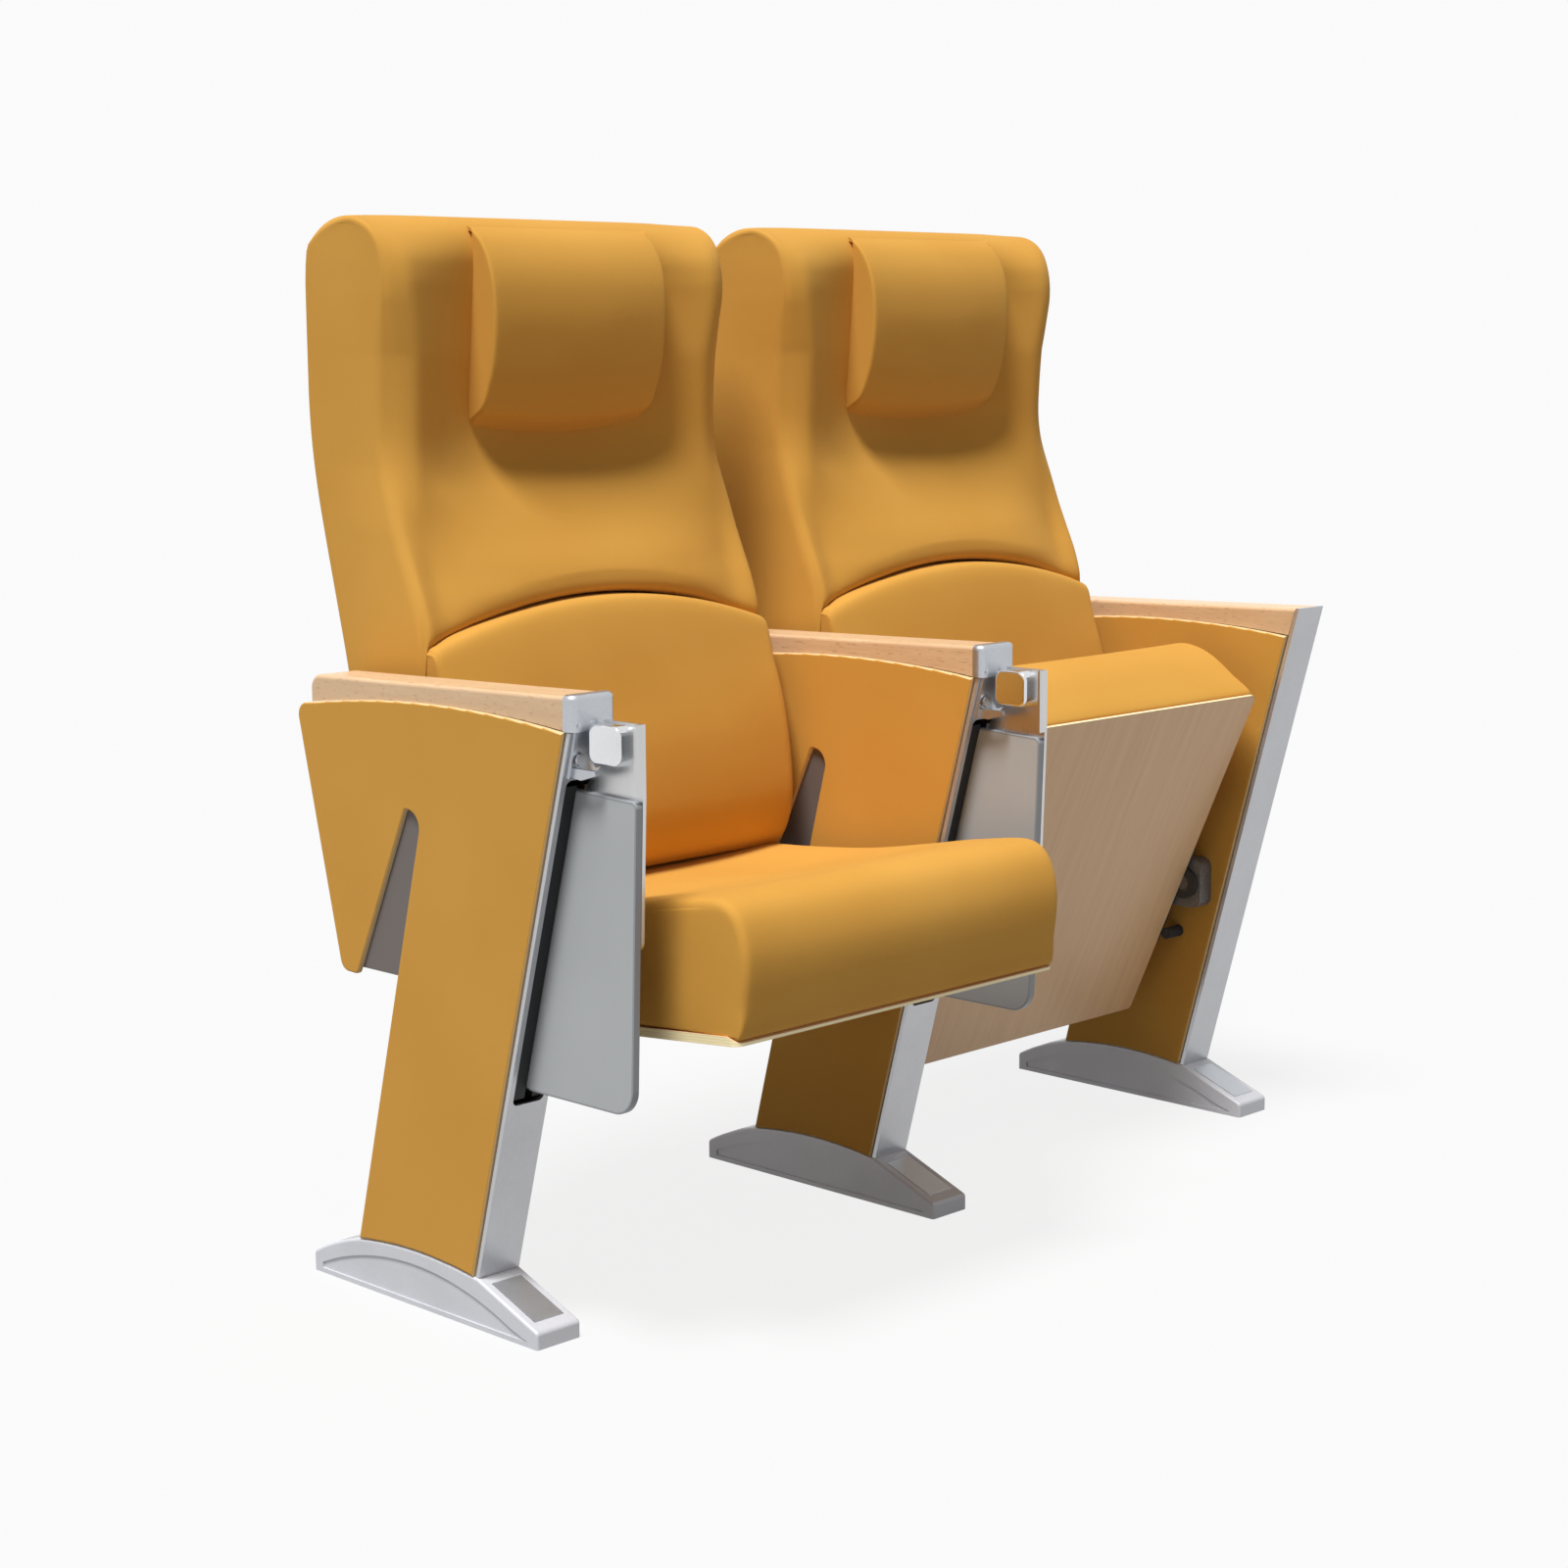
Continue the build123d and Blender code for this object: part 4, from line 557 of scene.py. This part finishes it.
def along(table, at):
    """Smooth curve through a table's rows."""
    if at <= table[0][0]:
        a, b = table[0], table[1]
        return a[1] + (b[1] - a[1]) * (at - a[0]) / (b[0] - a[0])
    for i in range(len(table) - 1):
        a, b = table[i], table[i + 1]
        if at <= b[0]:
            break
    else:
        return table[-1][1]
    span = b[0] - a[0]
    t = (at - a[0]) / span
    slope = (b[1] - a[1]) / span
    before = table[max(i - 1, 0)]
    after = table[min(i + 2, len(table) - 1)]
    m0 = slope if i == 0 else (b[1] - before[1]) / (b[0] - before[0])
    m1 = slope if i == len(table) - 2 else (after[1] - a[1]) / (after[0] - a[0])
    if slope == 0.0:
        m0 = m1 = 0.0
    h = t * t * (3 - 2 * t)
    return a[1] * (1 - h) + b[1] * h + span * (t * (1 - t) ** 2 * m0 - t * t * (1 - t) * m1)


def resampled(points, count):
    """Points evenly spaced on a smooth line through the given ones."""
    gaps = [0.0]
    for a, b in zip(points, points[1:]):
        gaps.append(gaps[-1] + math.dist(a, b))
    ys = [(g, p[0]) for g, p in zip(gaps, points)]
    zs = [(g, p[1]) for g, p in zip(gaps, points)]
    steps = [gaps[-1] * i / (count - 1) for i in range(count)]
    return [(along(ys, s), along(zs, s)) for s in steps]


def straight(a, b, count):
    """Points from a to b, both left out."""
    return [tuple(p + (q - p) * (i + 1) / (count + 1) for p, q in zip(a, b)) for i in range(count)]


def spaced(low, high, count):
    """Values from low to high, both kept."""
    return [low + (high - low) * i / (count - 1) for i in range(count)]


def swept(name, profile, half, radius, runs, turns, rungs):
    """Closed mesh of side profiles along X with rounded edges and filled ends.

    profile(x, end) gives an even number of (y, z) points; its last point is joined to
    its first by a straight floor. half(y, z) and radius(y, z) may change along it.
    """
    angles = [math.pi / 2 * i / turns for i in range(turns)]
    stations = [(-1, a) for a in angles] + [(0, f) for f in spaced(-1.0, 1.0, runs)]
    stations += [(1, a) for a in reversed(angles)]
    verts, loops = [], []
    for sign, value in stations:
        reach = half(None)
        guess = (reach - 10.0) * value if sign == 0 else sign * reach
        flat = profile(guess, sign != 0 and value < 0.7)
        count = len(flat)
        loop = []
        for k, (y, z) in enumerate(flat):
            before, after = flat[max(k - 1, 0)], flat[min(k + 1, count - 1)]
            ty, tz = after[0] - before[0], after[1] - before[1]
            size = math.hypot(ty, tz) or 1.0
            r = radius(y, z)
            wide = half((y, z))
            if sign == 0:
                x, inset = value * (wide - r), 0.0
            else:
                x, inset = sign * (wide - r + r * math.cos(value)), r * (1 - math.sin(value))
            loop.append((x, y + inset * tz / size, z - inset * ty / size))
        loop += straight(loop[-1], loop[0], rungs)
        loops.append([len(verts) + i for i in range(len(loop))])
        verts += loop
    faces = []
    for a, b in zip(loops, loops[1:]):
        for k in range(len(a)):
            n = (k + 1) % len(a)
            faces.append((a[k], b[k], b[n], a[n]))
    for loop, flip in ((loops[0], False), (loops[-1], True)):
        count = len(loop) - rungs
        previous = [loop[0]] + loop[count:][::-1] + [loop[count - 1]]
        for k in range(1, count // 2 - 1):
            inner = straight(verts[loop[k]], verts[loop[count - 1 - k]], rungs)
            row = [loop[k]] + [len(verts) + i for i in range(rungs)] + [loop[count - 1 - k]]
            verts += inner
            for i in range(rungs + 1):
                quad = (previous[i], row[i], row[i + 1], previous[i + 1])
                faces.append(quad[::-1] if flip else quad)
            previous = row
        last = previous[:1] + [loop[count // 2 - 1], loop[count // 2]] + previous[:0:-1]
        faces.append(tuple(last[::-1] if flip else last))
    mesh = bpy.data.meshes.new(name)
    mesh.from_pydata([(x / 1000, y / 1000, z / 1000) for x, y, z in verts], [], faces)
    bm = bmesh.new()
    bm.from_mesh(mesh)
    bmesh.ops.recalc_face_normals(bm, faces=bm.faces)
    bm.to_mesh(mesh)
    bm.free()
    obj = new_object(name, mesh)
    seam = obj.vertex_groups.new(name="seam")
    ends = loops[: turns + 1] + loops[-turns - 1 :]
    pinned = [index for loop in ends for index in loop]
    for loop in loops[turns + 1 : -turns - 1]:
        count = len(loop) - rungs
        pinned += loop[:4] + loop[int(count * 0.58) :]
    seam.add(pinned, 1.0, "REPLACE")
    return obj


def arch(x):
    """Seam between back and lumbar cushion."""
    rise, reach = 42.0, SEAM_HALF
    r = (reach**2 + rise**2) / (2 * rise)
    return 680.0 - (r - math.sqrt(max(r * r - x * x, 0.0)))


def back_y(x, z):
    """Depth of a back's front at x and height z."""
    share = along(WING, abs(x))
    return along(HOLLOW, z) * (1 - share) + along(RIDGE, z) * share


def back_profile(x, strip):
    """Front, top and rear of a back at x; a strip at the side goes on down."""
    low = 560.0 if strip else arch(x) + 1.0
    share = along(WING, abs(x))
    low_heights = [low, low + 2.0, low + 6.0, low + 12.0] + spaced(low + 20.0, 720.0, 8)
    heights = low_heights + spaced(726.0, 1000.0, 45)
    lip = [18.0, 10.5, 5.2, 1.9, 0.4] + [0.0] * 200
    front = [(back_y(x, z) + (0 if strip else lip[i]), z) for i, z in enumerate(heights)]
    top = []
    for (sy, sz), (hy, hz) in zip(SIDE_TOP, HOLLOW_TOP):
        top.append((hy + (sy - hy) * share, sz + (hz - sz) * (1 - (abs(x) / BACK_HALF) ** 10)))
    top = resampled(top, 16)
    rear = []
    for z in reversed(heights):
        pocket = 33.0 if abs(x) < 214.0 and z < 1023.0 else 0.0
        rear.append((along(REAR, z) - pocket, z))
    return front + top + rear


def back_half(point):
    """Half width of a back, narrower towards its rear."""
    if point is None:
        return BACK_HALF
    y, z = point
    taper = 7.0 + 4.0 * min(max((z - 760.0) / 60.0, 0.0), 1.0)
    rear = along(REAR, z)
    depth = rear - along(RIDGE, min(z, WING_TOP))
    return BACK_HALF - taper * min(max((rear - y) / depth, 0.0), 1.0)


def back_radius(y, z):
    """Side edges of a back: crisp at the rear and the top, soft in front."""
    rear = along(REAR, z)
    if y > rear - 50.0 and z < 1030.0:
        return 4.0
    if z > 1012.0:
        return 5.0
    return 4.0 + 11.0 * min(max((985.0 - z) / 60.0, 0.0), 1.0)


def lumbar_profile(x, strip):
    """Side profile of the lumbar cushion at x."""
    crown = 8.0 * (1 - (x / SEAM_HALF) ** 2)
    top, low = arch(x), 392.0
    front = [(60.0, top - 0.5), (51.0, top - 2.5), (46.5, top - 8.0), (41.0, top - 22.0)]
    front += [(23.0 - 0.7 * crown, 571.0), (11.0 - 0.9 * crown, 520.0), (4.5 - crown, 462.0)]
    front += [(8.0 - 0.9 * crown, 430.0), (16.0 - 0.6 * crown, 408.0), (28.0, low)]
    curve = resampled(front, 56)
    rear = [(along(REAR, max(z, 400.0)) - 32.0, z) for _, z in curve]
    return curve[::-1] + rear


def pillow_profile(x, strip):
    """Lens-shaped side profile of a head pillow at x from its middle."""
    share = min(abs(x) / PILLOW_HALF, 1.0)
    low = 845.0 + 11.0 * share**2
    scale = (1056.0 - low) / 200.0
    front = []
    for y, rise in LENS:
        bulge = 5.0 * (1 - share**2) * max(math.sin(math.pi * rise / 200.0), 0.0)
        front.append((y - bulge, low + rise * scale))
    curve = resampled(front, 44)
    rear = [(max(back_y(x + 6.0, min(z, WING_TOP)), y + 1.0), z) for y, z in curve]
    return curve + rear[::-1]


def pillow_half(point):
    """Half width of a pillow, a little wider towards its top."""
    return PILLOW_HALF if point is None else PILLOW_HALF - 1.0 + (point[1] - 850.0) / 60.0


def pan_point(along_pan, above):
    """Point of the seat from its pan's lower front edge, seat down."""
    c, s = math.cos(PAN_SLOPE), math.sin(PAN_SLOPE)
    return (PAN_EDGE_Y + along_pan * c + above * s, PAN_EDGE_Z - along_pan * s + above * c)


def cushion_profile(x, strip):
    """Side profile of the seat cushion at x: front roll, dished top, rear."""
    dip = along(((0.0, 1.1), (90.0, 1.0), (155.0, 0.55), (200.0, 0.0), (230.0, 0.0)), abs(x))
    sag = 7.0 * dip
    front = [(1.0, 3.9), (-3.0, 12.0), (-9.0, 35.0), (-15.0, 62.0), (-16.5, 85.0), (-13.0, 106.0)]
    front += [(-6.0, 121.0), (6.0, 130.5), (25.0, 134.0), (80.0, 131.0 - 0.5 * sag)]
    top = [front[-1], (150.0, 124.0 - 0.9 * sag), (235.0, 117.0 - sag), (330.0, 116.0 - 0.9 * sag)]
    top += [(410.0, 117.0 - 0.5 * sag), (426.0, 110.0 - 0.5 * sag), (432.0, 96.0 - 0.5 * sag)]
    curve = [(16.0, 9.5), (8.0, 6.8)] + resampled(front, 35)[:-1] + resampled(top, 50)
    curve += [(432.0, z) for z in spaced(90.0 - 0.5 * sag, 9.5, 12)]
    return [pan_point(a, b) for a, b in curve]


def cushion_radius(y, z):
    """Side edges of the seat cushion: crisp on the pan, soft above."""
    c, s = math.cos(PAN_SLOPE), math.sin(PAN_SLOPE)
    above = (y - PAN_EDGE_Y) * s + (z - PAN_EDGE_Z) * c
    return 3.0 + 6.0 * min(max((above - 10.0) / 25.0, 0.0), 1.0)


def lumbar_radius(y, z):
    """Side edges of a lumbar cushion: crisp at the seam, softer below."""
    return 3.0 if z > 634.0 else 3.0 + 9.0 * min((634.0 - z) / 40.0, 1.0)


def evened(mesh, moves, rounds=36):
    """Moves of a mesh's points, drawn towards their neighbours' mean; held points stay."""
    held = [move.length < 1e-7 for move in moves]
    near = [[] for _ in mesh.vertices]
    for edge in mesh.edges:
        a, b = edge.vertices
        near[a].append(b)
        near[b].append(a)
    for _ in range(rounds):
        means = [sum((moves[j] for j in links), Vector()) / len(links) for links in near]
        moves = [
            Vector() if fixed else (move + mean) / 2
            for move, mean, fixed in zip(moves, means, held)
        ]
    return moves


def inflate(obj, pressure, cap, frames=20, stiffness=15.0):
    """Cloth under inner pressure; the points of the group "seam" stay."""
    start = [v.co.copy() for v in obj.data.vertices]
    mod = obj.modifiers.new("cloth", "CLOTH")
    settings = mod.settings
    settings.quality = 4
    settings.mass = 0.3
    settings.tension_stiffness = stiffness
    settings.compression_stiffness = stiffness
    settings.shear_stiffness = 5.0
    settings.bending_stiffness = 12.0
    settings.use_pressure = True
    settings.uniform_pressure_force = pressure
    settings.effector_weights.gravity = 0.0
    settings.vertex_group_mass = "seam"
    mod.point_cache.frame_start = 1
    mod.point_cache.frame_end = frames
    for step in range(1, frames + 1):
        scene.frame_set(step)
    mesh = frozen(obj)
    moves = evened(mesh, [vertex.co - home for vertex, home in zip(mesh.vertices, start)])
    for vertex, home, move in zip(mesh.vertices, start, moves):
        size = max(move.length, 1e-9)
        vertex.co = home + move * (cap * math.tanh(size / cap) / size)
    swap_mesh(obj, mesh)
    scene.frame_set(1)


def subdivided(obj):
    """Divides the mesh once more, smoothly."""
    mod = obj.modifiers.new("fine", "SUBSURF")
    mod.levels = 1
    mod.render_levels = 1
    swap_mesh(obj, frozen(obj))
    obj.vertex_groups.clear()


def shade(obj, mat):
    """Smooth shading with one material."""
    obj.data.materials.clear()
    obj.data.materials.append(mat)
    for polygon in obj.data.polygons:
        polygon.use_smooth = True


def make_soft(slots):
    """Seat cushions, backs, lumbar cushions and pillows, each built once and copied."""
    shift = Matrix.Translation((PITCH, 0, 0))
    about = Matrix.Translation(PIVOT) @ Matrix.Rotation(-TIP, 4, "X") @ Matrix.Translation(-PIVOT)
    recipes = {
        "seat_cushion": (cushion_profile, lambda point: 222.0, cushion_radius, 57, 4, 24, 2.0, 0.003),
        "back_cushion": (back_profile, back_half, back_radius, 61, 4, 14, 1.2, 0.0025),
        "lumbar_cushion": (lumbar_profile, lambda point: 231.0, lumbar_radius, 57, 4, 12, 2.0, 0.003),
        "head_pillow": (pillow_profile, pillow_half, lambda y, z: 2.5, 41, 3, 6, 1.6, 0.002),
    }
    for kind, (profile, half, radius, runs, turns, rungs, pressure, cap) in recipes.items():
        left = swept(f"{kind}_soft_left", profile, half, radius, runs, turns, rungs)
        if kind == "head_pillow":
            for vertex in left.data.vertices:
                vertex.co.x += 0.006 + 0.022 * (vertex.co.z - 0.86)
        left.data.transform(Matrix.Translation((-PITCH / 2, 0, 0)))
        inflate(left, pressure, cap)
        subdivided(left)
        mesh = left.data.copy()
        mesh.transform(shift @ about if kind == "seat_cushion" else shift)
        right = new_object(f"{kind}_soft_right", mesh)
        slot = "pillow_cloth" if kind == "head_pillow" else kind.split("_")[0] + "_cloth"
        for side, obj in (("left", left), ("right", right)):
            shade(obj, slots[slot])
            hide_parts(f"{kind}_{side}")
            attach(obj, f"seat_{side}" if kind == "seat_cushion" else "row")


make_camera()
make_world()
make_floor()
make_key()
materials = make_materials()
dress_nodes(materials)
make_soft(materials)
